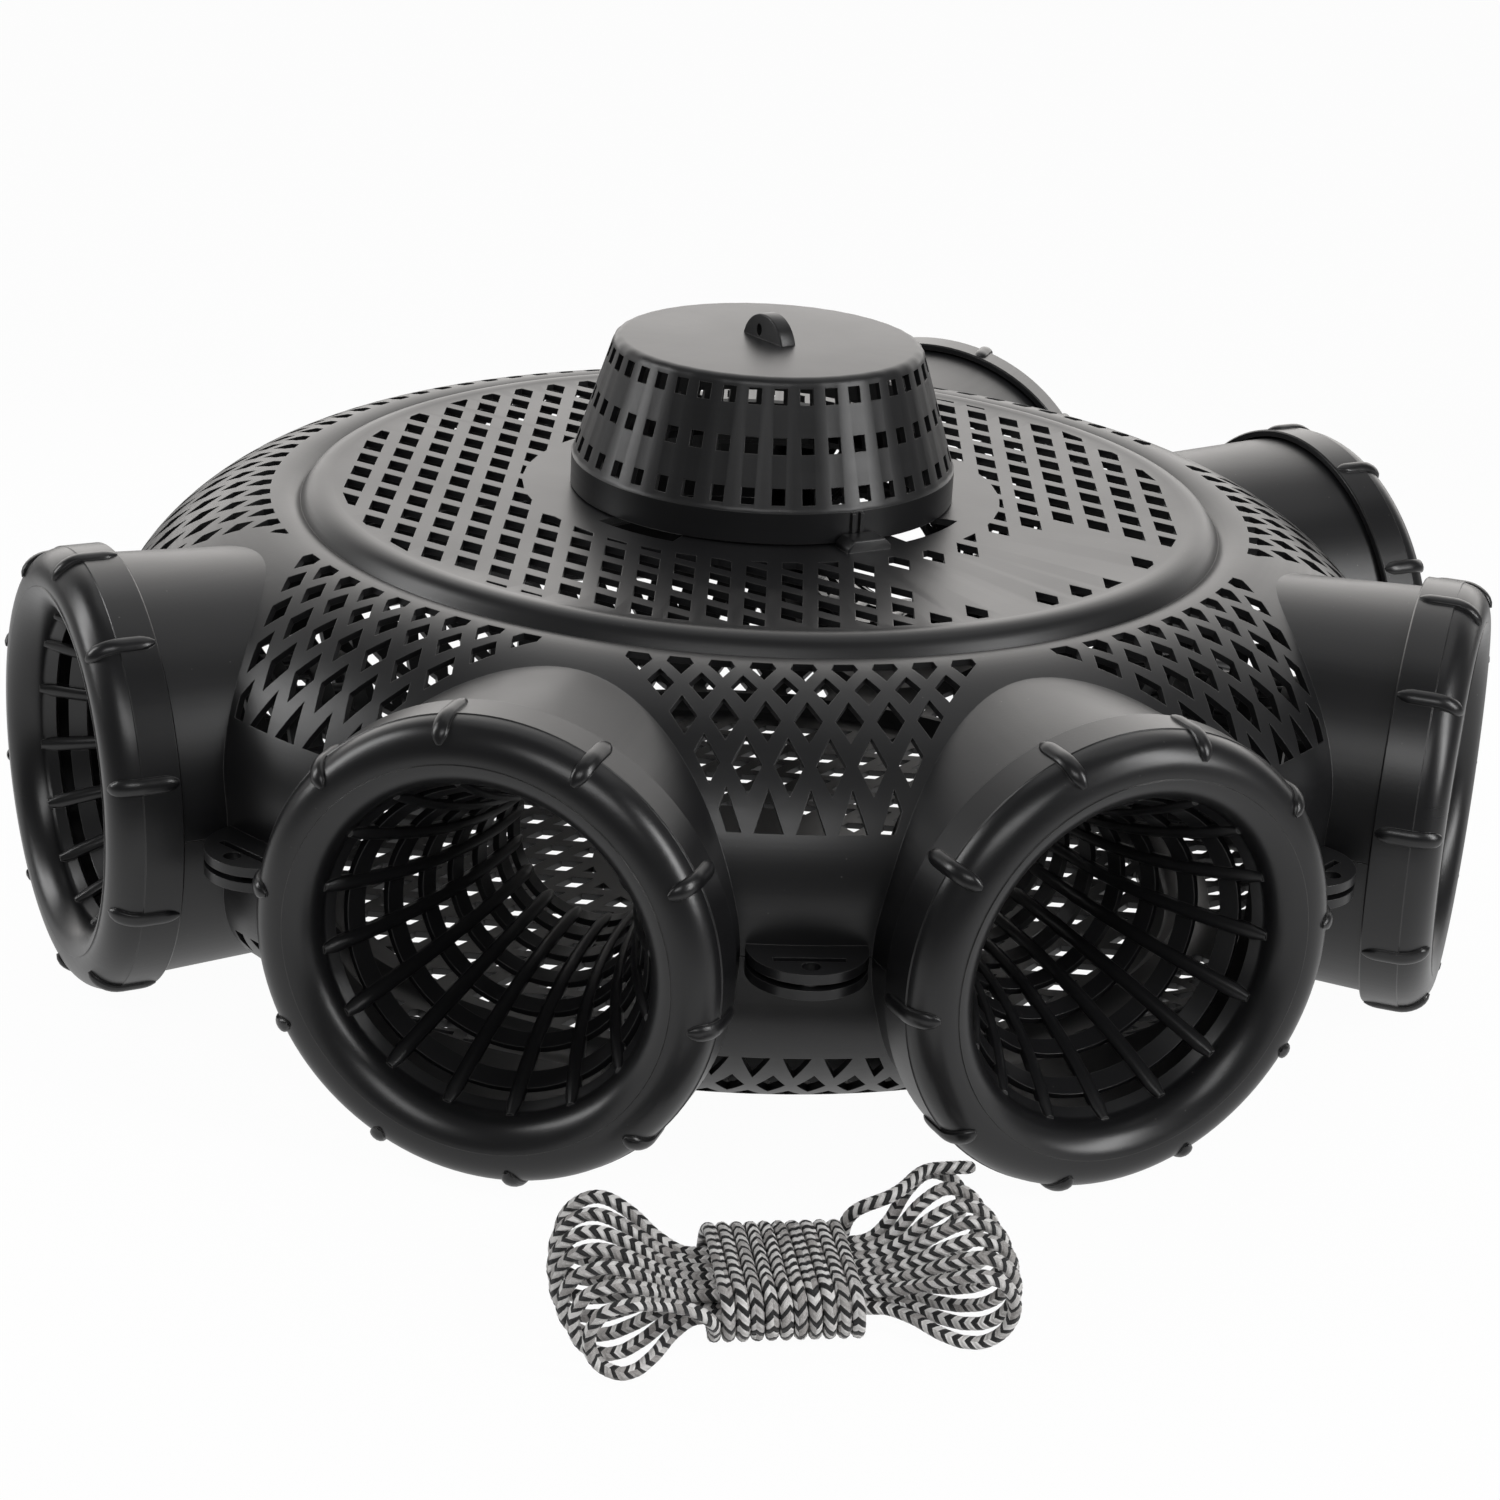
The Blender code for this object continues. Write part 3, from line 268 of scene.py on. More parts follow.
def cylinder(bm, radius, depth, segments, matrix):
    """Round bar of a depth along Z, placed by its middle."""
    bmesh.ops.create_cone(bm, cap_ends=True, segments=segments, radius1=radius, radius2=radius,
                          depth=depth, matrix=matrix)


def cuboid(bm, size, matrix):
    """Box of a size, placed by its middle."""
    bmesh.ops.create_cube(bm, size=1.0, matrix=matrix @ Matrix.Diagonal((*size, 1.0)))
    return bm


def place(point, side, along, half_width, half_height):
    """Matrix that puts a unit circle square to a direction, stretched to two half sizes."""
    third = along.normalized()
    first = side.normalized()
    second = third.cross(first)
    matrix = Matrix((first * half_width, second * half_height, third)).transposed().to_4x4()
    matrix.translation = point
    return matrix


def skinned(bm, rings):
    """Closed skin over a row of rings of points, with a face at both ends."""
    rings = [[bm.verts.new(point) for point in ring] for ring in rings]
    for before, after in zip(rings, rings[1:]):
        for k in range(len(before)):
            bm.faces.new((before[k - 1], before[k], after[k], after[k - 1]))
    bm.faces.new(rings[0])
    bm.faces.new(rings[-1][::-1])


def swept(bm, places, sides):
    """Tube with a round section at each place."""
    circle = [Vector((math.cos(FULL_TURN * i / sides), math.sin(FULL_TURN * i / sides), 0.0))
              for i in range(sides)]
    skinned(bm, [[spot @ point for point in circle] for spot in places])


def solid_from(bm, name):
    """Object of a closed mesh with its faces pointing outwards."""
    bmesh.ops.recalc_face_normals(bm, faces=bm.faces)
    mesh = bpy.data.meshes.new(name)
    bm.to_mesh(mesh)
    bm.free()
    return linked(name, mesh)


def finished_mesh(made):
    """Mesh of an object with its modifiers, or of a curve with its thickness."""
    bpy.context.view_layer.update()
    graph = bpy.context.evaluated_depsgraph_get()
    return bpy.data.meshes.new_from_object(made.evaluated_get(graph))


def carved(name, bm, steps):
    """Mesh of a closed shape after a list of (operation, bmesh) steps."""
    made = solid_from(bm, name)
    helpers = [solid_from(shape, f"{name}_step_{i}") for i, (_, shape) in enumerate(steps)]
    for (operation, _), helper in zip(steps, helpers):
        step = made.modifiers.new(helper.name, "BOOLEAN")
        step.operation = operation
        step.solver = "MANIFOLD"
        step.object = helper
    mesh = finished_mesh(made)
    for used in helpers + [made]:
        old = used.data
        bpy.data.objects.remove(used)
        bpy.data.meshes.remove(old)
    if not mesh.polygons:
        raise RuntimeError(f"{name}: the cuts left nothing of the shape")
    mesh.name = name
    return mesh


def piece(name, mesh, body, slot, material, *nodes, crease=32.0):
    """Finished piece that rides on a body and stands for its nodes; creases are in degrees."""
    made = linked(name, mesh)
    mesh.materials.clear()
    mesh.materials.append(material)
    mesh.shade_smooth()
    mesh.set_sharp_from_angle(angle=crease * DEGREE)
    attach(made, body)
    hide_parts(*nodes)
    return made


# Surface materials: pattern scales count repeats per metre, and pairs are the two ends of a ramp

SPECK_SCALE = 260.0
SPECK_EDGE = (0.09, 0.03)
SPECK_CHANCE = 0.8
SPECK_AMOUNT = 0.5
DUSTY_PATCHES = (0.46, 0.62)
DUSTY_PATCH_SCALE = 18.0
# Painted highlight on sharp edges: their base colour is lifted towards the dust colour, as if they
# caught light
EDGE_RADIUS = 0.4 * MM
EDGE_BEND = (0.985, 0.86)
EDGE_BREAKS = (0.25, 0.75)
EDGE_BREAK_SCALE = 90.0
EDGE_LIFT = 0.55
CLOUD_SCALE = 14.0
WAVE_SCALE = 30.0
GRAIN_SCALE = 900.0
GRAIN_HEIGHT = 0.25
SCRATCH_STRETCH = (9.0, 9.0, 900.0)
SCRATCH_GLOSS = 0.5
SCRATCH_HEIGHT = 0.2
MEAN_GLOSS = 0.75
SKIN_BUMP = 0.05 * MM
CORNER_ROUNDING = 0.8 * EDGE_RADIUS
BRAID_LANES = 4.0
BRAID_SLOPE = 0.62
BRAID_BUMP = 0.3 * MM
BRAID_ROUGHNESS = (0.32, 0.3)
DARK_SHARE = 0.42
DARK_SPREAD = 0.24
STRAND_WAVES = 2.0
STRAND_HEIGHT = 0.5
FIBRE_SCALE = 3.0
FIBRE_LANES = 9.0
FIBRE_STRETCH = (2.0, 7.0)
FIBRE_TONE = 2.0
FIBRE_HEIGHT = 0.5
STITCH_TONE = (1.3, -0.95)
FLOOR_WASH = 0.97
FLOOR_SHEEN = 0.6
FLOOR_ROUGHNESS = 0.9
FLOOR_FAR = (0.3, 0.3, 0.3)
FLOOR_FADE = (0.4, 0.75)
WHITE = (1.0, 1.0, 1.0, 1.0)


class Tree:
    """Short calls for building a node tree."""

    def __init__(self, tree):
        self.tree = tree

    def feed(self, node, inputs):
        """Link sockets to a node's inputs, or set them to constants; inputs go by name or number."""
        for key, value in inputs.items():
            if isinstance(value, bpy.types.NodeSocket):
                self.tree.links.new(value, node.inputs[key])
            else:
                node.inputs[key].default_value = value

    def node(self, kind, inputs=None, **settings):
        """New node with its settings and inputs."""
        made = self.tree.nodes.new(kind)
        for key, value in settings.items():
            setattr(made, key, value)
        self.feed(made, inputs or {})
        return made

    def math(self, operation, *values, clamp=False):
        inputs = dict(enumerate(values))
        return self.node("ShaderNodeMath", inputs, operation=operation, use_clamp=clamp).outputs[0]

    def mix(self, factor, first, second):
        """Mix of two colours; a Mix node's colour inputs are its numbers 6 and 7."""
        inputs = {0: factor, 6: first, 7: second}
        return self.node("ShaderNodeMix", inputs, data_type="RGBA").outputs[2]

    def noise(self, vector, scale, detail=2.0, roughness=0.5):
        inputs = {"Vector": vector, "Scale": scale, "Detail": detail, "Roughness": roughness}
        return self.node("ShaderNodeTexNoise", inputs).outputs["Fac"]

    def ramp(self, value, ends):
        """0 to 1 as a value goes from one end to the other."""
        inputs = {"Value": value, "From Min": ends[0], "From Max": ends[1]}
        return self.node("ShaderNodeMapRange", inputs, clamp=True).outputs["Result"]


def opaque(colour):
    """A colour with full alpha."""
    return (*colour, 1.0)


def principled(name):
    """New material with its tree and its Principled shader."""
    material = bpy.data.materials.new(name)
    material.use_nodes = True
    return material, Tree(material.node_tree), material.node_tree.nodes["Principled BSDF"]


def effect_group(name, numbers, results):
    """New node group of a place, named numbers and named results; gives its tree, inputs and output."""
    group = bpy.data.node_groups.new(name, "ShaderNodeTree")
    group.interface.new_socket(name="Vector", in_out="INPUT", socket_type="NodeSocketVector")
    for number, default in numbers.items():
        made = group.interface.new_socket(name=number, in_out="INPUT", socket_type="NodeSocketFloat")
        made.default_value = default
    for result in results:
        group.interface.new_socket(name=result, in_out="OUTPUT", socket_type="NodeSocketFloat")
    tree = Tree(group)
    return tree, tree.node("NodeGroupInput").outputs, tree.node("NodeGroupOutput")


def dust_specks(name):
    """Fine pale specks scattered over a surface."""
    tree, given, result = effect_group(name, {"Scale": SPECK_SCALE, "Amount": SPECK_AMOUNT}, ["Mask"])
    cells = tree.node("ShaderNodeTexVoronoi", {"Vector": given["Vector"], "Scale": given["Scale"]},
                      feature="F1", distance="EUCLIDEAN").outputs
    speck = tree.ramp(cells["Distance"], SPECK_EDGE)
    number = tree.node("ShaderNodeSeparateColor", {"Color": cells["Color"]}).outputs[0]
    chosen = tree.math("GREATER_THAN", number, SPECK_CHANCE)
    patch = tree.ramp(tree.noise(given["Vector"], DUSTY_PATCH_SCALE, detail=3.0), DUSTY_PATCHES)
    mask = tree.math("MULTIPLY", tree.math("MULTIPLY", speck, chosen), patch)
    tree.feed(result, {"Mask": tree.math("MULTIPLY", mask, given["Amount"])})
    return tree.tree


def painted_edge_highlight(name):
    """Mask of the sharp edges, where a paler colour is painted on as a highlight of the light they
    catch.
    """
    tree, given, result = effect_group(name, {"Radius": EDGE_RADIUS}, ["Mask"])
    rounded = tree.node("ShaderNodeBevel", {"Radius": given["Radius"]}, samples=6)
    flat = tree.node("ShaderNodeNewGeometry")
    normals = {0: rounded.outputs["Normal"], 1: flat.outputs["Normal"]}
    aligned = tree.node("ShaderNodeVectorMath", normals, operation="DOT_PRODUCT")
    edge = tree.ramp(aligned.outputs["Value"], EDGE_BEND)
    broken = tree.ramp(tree.noise(given["Vector"], EDGE_BREAK_SCALE, detail=3.0), EDGE_BREAKS)
    tree.feed(result, {"Mask": tree.math("MULTIPLY", edge, broken)})
    return tree.tree


def moulded_skin(name):
    """Uneven gloss, fine scratches and flow waves of a moulded surface."""
    numbers = {"Roughness": 0.36, "Unevenness": 0.1}
    tree, given, result = effect_group(name, numbers, ["Roughness", "Height"])
    spot = given["Vector"]
    clouds = tree.noise(spot, CLOUD_SCALE, detail=4.0, roughness=0.6)
    stretch = tree.node("ShaderNodeMapping", {"Vector": spot, "Scale": SCRATCH_STRETCH})
    scratches = tree.noise(stretch.outputs["Vector"], 1.0)
    marks = tree.math("ADD", clouds, tree.math("MULTIPLY", scratches, SCRATCH_GLOSS))
    uneven = tree.math("SUBTRACT", marks, MEAN_GLOSS)
    waves = tree.math("ADD", tree.noise(spot, WAVE_SCALE),
                      tree.math("MULTIPLY", scratches, SCRATCH_HEIGHT))
    grain = tree.math("MULTIPLY", tree.noise(spot, GRAIN_SCALE), GRAIN_HEIGHT)
    tree.feed(result, {
        "Roughness": tree.math("MULTIPLY_ADD", uneven, given["Unevenness"], given["Roughness"]),
        "Height": tree.math("ADD", grain, waves),
    })
    return tree.tree


EFFECTS = {"dust_specks": dust_specks, "painted_edge_highlight": painted_edge_highlight, "moulded_skin": moulded_skin}


def effect(tree, name, inputs):
    """Place a shared effect, which is made at its first use, and give its outputs."""
    group = bpy.data.node_groups.get(name) or EFFECTS[name](name)
    return tree.node("ShaderNodeGroup", inputs, node_tree=group).outputs


def black_plastic(name, roughness_shift=0.0, unevenness=0.12):
    """Injection-moulded black plastic with its own gloss, dust, and a highlight painted on its sharp
    edges.
    """
    finish = bpy.context.scene.trap_finish
    material, tree, shader = principled(name)
    spot = tree.node("ShaderNodeTexCoord").outputs["Object"]
    specks = effect(tree, "dust_specks", {"Vector": spot, "Amount": SPECK_AMOUNT})
    edges = effect(tree, "painted_edge_highlight", {"Vector": spot, "Radius": EDGE_RADIUS})
    skin = effect(tree, "moulded_skin", {
        "Vector": spot, "Roughness": finish.roughness + roughness_shift, "Unevenness": unevenness})
    # Sharp edges are painted paler, towards the dust colour, as a highlight; the specks are real dust
    lift = tree.math("MULTIPLY", edges["Mask"], EDGE_LIFT)
    dust_and_highlight_mask = tree.math("ADD", specks["Mask"], lift, clamp=True)
    rounded = tree.node("ShaderNodeBevel", {"Radius": CORNER_ROUNDING}, samples=4).outputs["Normal"]
    relief = tree.node("ShaderNodeBump", {"Distance": SKIN_BUMP, "Height": skin["Height"],
                                          "Normal": rounded})
    tree.feed(shader, {
        "Base Color": tree.mix(dust_and_highlight_mask, opaque(finish.black), opaque(finish.dust_and_edge_highlight)),
        "Roughness": skin["Roughness"],
        "Normal": relief.outputs["Normal"],
        "Specular IOR Level": 0.5,
        "IOR": 1.5,
    })
    return material


def braided_cord():
    """Chevron braid of dark and pale strands that follows the cord by its map."""
    rope = bpy.context.scene.trap_rope
    material, tree, shader = principled("braided_rope")
    cord_map = tree.node("ShaderNodeUVMap", uv_map="cord_map").outputs["UV"]
    parts = tree.node("ShaderNodeSeparateXYZ", {"Vector": cord_map}).outputs
    around = parts["X"]
    along = tree.math("DIVIDE", parts["Y"], rope.stitch)
    lanes = tree.math("MULTIPLY", around, BRAID_LANES)
    fold = tree.math("PINGPONG", lanes, 1.0)
    stitch = tree.math("ADD", along, tree.math("MULTIPLY", fold, BRAID_SLOPE))
    phase = tree.math("FRACT", stitch)
    number = tree.node("ShaderNodeCombineXYZ", {"X": tree.math("FLOOR", stitch),
                                                "Y": tree.math("FLOOR", lanes)})
    chance = tree.node("ShaderNodeTexWhiteNoise", {"Vector": number.outputs["Vector"]},
                       noise_dimensions="3D").outputs["Value"]
    share = tree.math("MULTIPLY_ADD", chance, DARK_SPREAD, DARK_SHARE - DARK_SPREAD / 2.0)
    dark = tree.math("LESS_THAN", phase, share)
    lane = tree.math("ADD", stitch, tree.math("MULTIPLY", around, FIBRE_LANES))
    fibre_spot = tree.node("ShaderNodeCombineXYZ", {
        "X": tree.math("MULTIPLY", along, FIBRE_STRETCH[0]),
        "Y": tree.math("MULTIPLY", lane, FIBRE_STRETCH[1])})
    fibres = tree.noise(fibre_spot.outputs["Vector"], FIBRE_SCALE, detail=3.0)
    tone = tree.math("MULTIPLY_ADD", fibres, FIBRE_TONE,
                     tree.math("MULTIPLY_ADD", chance, *STITCH_TONE), clamp=True)
    pale = tree.mix(tone, opaque(rope.grey), opaque(rope.light))
    strand = tree.math("SINE", tree.math("MULTIPLY", phase, STRAND_WAVES * FULL_TURN))
    ridge = tree.math("SINE", tree.math("MULTIPLY", fold, math.pi))
    height = tree.math("ADD", tree.math("MULTIPLY", strand, STRAND_HEIGHT),
                       tree.math("ADD", ridge, tree.math("MULTIPLY", fibres, FIBRE_HEIGHT)))
    relief = tree.node("ShaderNodeBump", {"Distance": BRAID_BUMP, "Height": height})
    tree.feed(shader, {
        "Base Color": tree.mix(dark, pale, opaque(rope.dark)),
        "Roughness": tree.math("MULTIPLY_ADD", fibres, BRAID_ROUGHNESS[1], BRAID_ROUGHNESS[0]),
        "Normal": relief.outputs["Normal"],
        "Sheen Weight": 0.08,
        "Sheen Roughness": 0.4,
    })
    return material


def pale_floor(colour):
    """Pale floor that looks washed out by light, and reflects bright only near the trap."""
    material, tree, shader = principled("pale_floor")
    spot = tree.node("ShaderNodeTexCoord").outputs["Object"]
    reach = tree.node("ShaderNodeVectorMath", {0: spot}, operation="LENGTH").outputs["Value"]
    far = tree.ramp(reach, FLOOR_FADE)
    tree.feed(shader, {"Base Color": tree.mix(far, opaque(colour), opaque(FLOOR_FAR)),
                       "Roughness": FLOOR_ROUGHNESS})
    glow = tree.node("ShaderNodeEmission", {"Color": WHITE})
    rays = tree.node("ShaderNodeLightPath").outputs
    sheen = tree.math("MULTIPLY_ADD", far, -FLOOR_SHEEN, FLOOR_SHEEN)
    seen = tree.math("MAXIMUM", tree.math("MULTIPLY", rays["Is Camera Ray"], FLOOR_WASH),
                     tree.math("MULTIPLY", rays["Is Glossy Ray"], sheen))
    both = tree.node("ShaderNodeMixShader", {0: seen, 1: shader.outputs[0], 2: glow.outputs[0]})
    tree.feed(material.node_tree.nodes["Material Output"], {"Surface": both.outputs[0]})
    return material


# Shape of the half shells

# Handles of the dome's curve, each from its own end
DOME_TOP_HANDLE = Vector((12.9, 12.5)) * MM
DOME_FOOT_HANDLE = Vector((0.0, 35.0 * MM))
DOME_SAMPLES = 120
DOME_FACES = 28
# Rolled rim in millimetres past the flat top: way out and share of its rise, then way out and drop
RIM_RISING = ((0.0, 0.0), (1.6, 0.5), (3.6, 1.0), (5.6, 0.8))
RIM_FALLING = ((7.6, -0.35), (9.2, -1.5), (10.6, -3.1), (11.6, -4.7))
# Area of the smallest slot that is cut
LEAST_SLOT = 7.0 * MM * MM
PLATE_BORDER = 1.5 * MM
# A cut's reach above the outside and below it
PLATE_CUT = (3.0 * MM, 5.0 * MM)
DOME_CUT = (2.5 * MM, 4.5 * MM)
# The plain field on the flat top
FIELD_RADII = (94.0 * MM, 143.0 * MM)
FIELD_AZIMUTHS = (42.0 * DEGREE, 91.0 * DEGREE)

# Rows of the dome's slots in millimetres down the slope from the groove: middle, half height above
# it and below it, half width, and whether the row is moved by half a column
DOME_ROWS = (
    (15.0, 3.9, 5.6, 4.1, False),
    (24.6, 5.9, 6.1, 4.1, True),
    (36.9, 7.6, 7.8, 4.4, False),
    (52.4, 9.5, 9.8, 4.5, True),
)
# The first row's slots have a flat top: its half width as a share, and the height of the shoulders
FLAT_TOP = 0.75
SHOULDER = -0.5
TRIANGLE_TIP = 59.8 * MM
TRIANGLE_BASE = 73.5 * MM
TRIANGLE_HALF_WIDTH = 4.4 * MM
# How much wider a neck is outside the dome, and a distance that stands for no neck near
NECK_GROWTH = 2.0 * MM
OFF_NECKS = 1.0
# Slots fill the zone between two places; three zones have wider columns that lean with the azimuth
ZONE_BORDER = 1.5 * MM
ZONE_COLUMNS = 8
WIDE_ZONES = (4, 5, 6)
WIDE_COLUMNS = 6
WIDE_ZONE_WIDTH = 0.82


def shell_azimuth(place_number, lower):
    """Azimuth of a place in a half shell's own frame; the lower one is turned over about X."""
    azimuth = place_number * PLACE_ANGLE
    return math.pi - azimuth if lower else azimuth


def neck_azimuths(lower):
    """Azimuths of the necks in a half shell's own frame."""
    return [shell_azimuth(number, lower) for number, _ in ENTRANCES.values()]


class ShellForm:
    """Outline of a half shell above its seam, with lengths down the slope of its dome."""

    def __init__(self, rim_rise):
        self.sizes = bpy.context.scene.trap_shell
        self.rim_rise = rim_rise
        start = Vector((self.sizes.groove_radius, SHELL_HEIGHT - self.sizes.groove_depth))
        end = Vector((self.sizes.body_radius, self.sizes.band_height))
        self.handles = (start, start + DOME_TOP_HANDLE, end + DOME_FOOT_HANDLE, end)
        self.points = [bezier(self.handles, share) for share in spaced(0.0, 1.0, DOME_SAMPLES)]
        self.lengths = [0.0]
        for before, after in zip(self.points, self.points[1:]):
            self.lengths.append(self.lengths[-1] + (after - before).length)

    def at_length(self, down):
        """Point (radius, height) at a length down the dome's slope."""
        low = min(max(bisect_right(self.lengths, down) - 1, 0), DOME_SAMPLES - 1)
        span = self.lengths[low + 1] - self.lengths[low]
        return self.points[low].lerp(self.points[low + 1], (down - self.lengths[low]) / span)

    def outside(self):
        """Line from the axis over the rolled rim and the dome to the seam."""
        sizes = self.sizes
        rim = [(out, share * self.rim_rise) for out, share in RIM_RISING]
        rim += [(out, drop * MM) for out, drop in RIM_FALLING]
        line = [Vector((0.0, SHELL_HEIGHT))]
        line += [Vector((sizes.plateau_radius + out * MM, SHELL_HEIGHT + rise)) for out, rise in rim]
        line += [bezier(self.handles, share) for share in spaced(0.0, 1.0, DOME_FACES)]
        return line + [Vector((sizes.body_radius, sizes.seam_gap / 2.0))]

    def inside(self):
        """The outside's line moved in by the wall, down past the seam."""
        sizes = self.sizes
        line = self.outside()
        moved = [Vector((0.0, SHELL_HEIGHT - sizes.wall))]
        for before, point, after in zip(line, line[1:], line[2:]):
            first = (point - before).normalized()
            second = (after - point).normalized()
            normal = (Vector((first.y, -first.x)) + Vector((second.y, -second.x))).normalized()
            moved.append(point + normal * sizes.wall)
        last = sizes.body_radius - sizes.wall
        kept = [moved[0]] + [p for p in moved[1:] if p.x <= last]
        return kept + [Vector((last, -sizes.wall)), Vector((0.0, -sizes.wall))]

    def surface(self, azimuth, across, down):
        """Point of the dome across from a zone's middle plane and down its slope."""
        profile = self.at_length(down)
        radial = math.sqrt(profile.x ** 2 - across ** 2)
        return outward(azimuth) * radial + sideways(azimuth) * across + UP * profile.y


def clipped(outline, kept):
    """Cut a flat outline to the side where a function of the point is not negative."""
    result = []
    values = [kept(point) for point in outline]
    for i, point in enumerate(outline):
        before = outline[i - 1]
        if (values[i] >= 0.0) != (values[i - 1] >= 0.0):
            share = values[i - 1] / (values[i - 1] - values[i])
            result.append(before.lerp(point, share))
        if values[i] >= 0.0:
            result.append(point)
    return result


def area_of(outline):
    """Area of a flat outline in space, its unit normal and its middle."""
    middle = sum(outline, Vector()) / len(outline)
    normal = Vector()
    for i, point in enumerate(outline):
        normal += (outline[i - 1] - middle).cross(point - middle)
    return normal.length / 2.0, normal.normalized(), middle


def in_bare_field(point):
    """Whether a place of the flat top lies in the plain fan-shaped field."""
    azimuth = math.atan2(point.x, -point.y)
    return (FIELD_RADII[0] < point.length < FIELD_RADII[1]
            and FIELD_AZIMUTHS[0] < azimuth < FIELD_AZIMUTHS[1])


def plate_slots(form, inner_radius, bare_field):
    """Parallelogram slots between the straight and the crossing bars of a flat top."""
    sizes = form.sizes
    bm = bmesh.new()
    across = outward(sizes.plate_turn + math.pi / 2.0)
    along = Vector((-across.y, across.x, 0.0))
    column = across * sizes.plate_column - along * (sizes.plate_column * math.tan(sizes.plate_skew))
    row = along * sizes.plate_row
    slot_across = column * ((sizes.plate_column - sizes.plate_bar) / sizes.plate_column / 2.0)
    bar_along = sizes.plate_bar / math.cos(sizes.plate_skew)
    slot_along = along * ((sizes.plate_row - bar_along) / 2.0)
    outer_radius = sizes.plateau_radius - PLATE_BORDER
    reach = math.ceil(outer_radius / sizes.plate_column)
    for i in range(-reach, reach + 1):
        for j in range(-2 * reach, 2 * reach + 1):
            centre = column * i + row * j
            apart = centre.length
            if not inner_radius - sizes.plate_row <= apart <= outer_radius + sizes.plate_row:
                continue
            if bare_field and in_bare_field(centre):
                continue
            outline = [centre + slot_across * a + slot_along * b
                       for a, b in ((1, 1), (-1, 1), (-1, -1), (1, -1))]
            outline = clipped(outline, lambda p: outer_radius - p.length)
            outline = clipped(outline, lambda p: p.length - inner_radius)
            if len(outline) > 2 and area_of(outline)[0] > LEAST_SLOT:
                prism(bm, [p + UP * SHELL_HEIGHT for p in outline], UP, *PLATE_CUT)
    return bm


def dome_outlines(columns):
    """Outlines (across, down) of a zone's slots, in slot columns either side of its middle."""
    for i, (middle, up, down, half, moved) in enumerate(DOME_ROWS):
        for k in range(-columns, columns + 1):
            tips = [(0.0, -up), (half, 0.0), (0.0, down), (-half, 0.0)]
            if i == 0:
                tips = [(-half * FLAT_TOP, -up), (half * FLAT_TOP, -up), (half, SHOULDER),
                        (0.0, down), (-half, SHOULDER)]
            yield k + (0.5 if moved else 0.0), [(a * MM, (middle + d) * MM) for a, d in tips]
    for k in range(-columns, columns + 1):
        yield k, [(0.0, TRIANGLE_TIP), (TRIANGLE_HALF_WIDTH, TRIANGLE_BASE),
                  (-TRIANGLE_HALF_WIDTH, TRIANGLE_BASE)]


def dome_slots(form, lower):
    """Diamond and triangle slots of the dome, cut back to the outlines of the necks."""
    sizes = form.sizes
    necks = neck_azimuths(lower)
    keep_out = sizes.neck_radius + NECK_GROWTH + sizes.neck_margin
    edge = math.tan(PLACE_ANGLE / 2.0)
    bm = bmesh.new()

    def off_necks(point):
        return min([OFF_NECKS] + [math.hypot(point.dot(sideways(neck)), point.z) - keep_out
                                  for neck in necks if point.dot(outward(neck)) > 0.0])

    for number in range(PLACES):
        wide = number in WIDE_ZONES
        azimuth = shell_azimuth(number + 0.5, lower)
        for step, outline in dome_outlines(WIDE_COLUMNS if wide else ZONE_COLUMNS):
            if wide:
                if not -WIDE_COLUMNS <= step < WIDE_COLUMNS:
                    continue
                turn = azimuth + step * PLACE_ANGLE / (2.0 * WIDE_COLUMNS)
                corners = [form.surface(turn, a * WIDE_ZONE_WIDTH, d) for a, d in outline]
            else:
                shift = step * sizes.dome_column
                corners = [form.surface(azimuth, a + shift, d) for a, d in outline]
                corners = clipped(corners, lambda p: edge * p.dot(outward(azimuth)) - ZONE_BORDER
                                  - abs(p.dot(sideways(azimuth))))
            corners = clipped(corners, off_necks)
            if len(corners) < 3:
                continue
            area, normal, middle = area_of(corners)
            if area < LEAST_SLOT:
                continue
            level = [c - normal * normal.dot(c - middle) for c in corners]
            prism(bm, level, -normal if normal.dot(middle) < 0.0 else normal, *DOME_CUT)
    return bm


# Half shells

RIM_RISE = 0.5 * MM
NECK_START = 168.2 * MM
BORE_START_BACK = 7.0 * MM
LUG_HOLE_RADIUS = 2.85 * MM
LUG_HOLE_INSET = 5.9 * MM
LUG_SLOT = Vector((21.4, 2.4, 20.0)) * MM
LUG_SLOT_RADIUS = 238.5 * MM
LUG_SEGMENTS = 72
LUG_HOLE_SEGMENTS = 32
OPENING_RADIUS = 62.0 * MM
OPENING_CUT = (5.0 * MM, 8.0 * MM)
HOOKS = 4
HOOK_TURN = 46.2 * DEGREE
HOOK_ANGLE = 22.0 * DEGREE
HOOK_OUTER = 61.4 * MM
HOOK_INNER = 58.2 * MM
FOOT_OUTER = 71.9 * MM
FOOT_THICKNESS = 1.8 * MM
TURN_TO_OPEN = 26.0 * DEGREE
NOTCH_RADIUS = 74.4 * MM
NOTCH_LEAD = 1.5 * DEGREE
NOTCH_OVERLAP = 3.0 * MM
NOTCH_CUT = (4.0 * MM, 7.0 * MM)
STOP_ANGLE = 3.0 * DEGREE
STOP_DEPTH = 3.0 * MM
STOP_PLAY = 0.3 * DEGREE
BLOCK_INNER = 68.6 * MM
BLOCK_SIZE = Vector((16.7, 9.0, 4.0)) * MM
BLOCK_CHAMFER = 2.5 * MM
BLOCK_ROUNDING = 0.5 * MM
# Larger than the trap, to cut off everything below the seam
SEAM_CUTTER = (0.7, 0.7, 0.2)


def sector(bm, section, start, end, steps):
    """Sweep a section of (radius, height) points round Z from one azimuth to another."""
    skinned(bm, [[stood(outward(azimuth), spot) for spot in section]
                 for azimuth in spaced(start, end, steps)])


def hook_azimuths(turn=0.0):
    """Middles of the places of the cap's hooks, turned from where they lock."""
    return [HOOK_TURN + turn + hook * FULL_TURN / HOOKS for hook in range(HOOKS)]


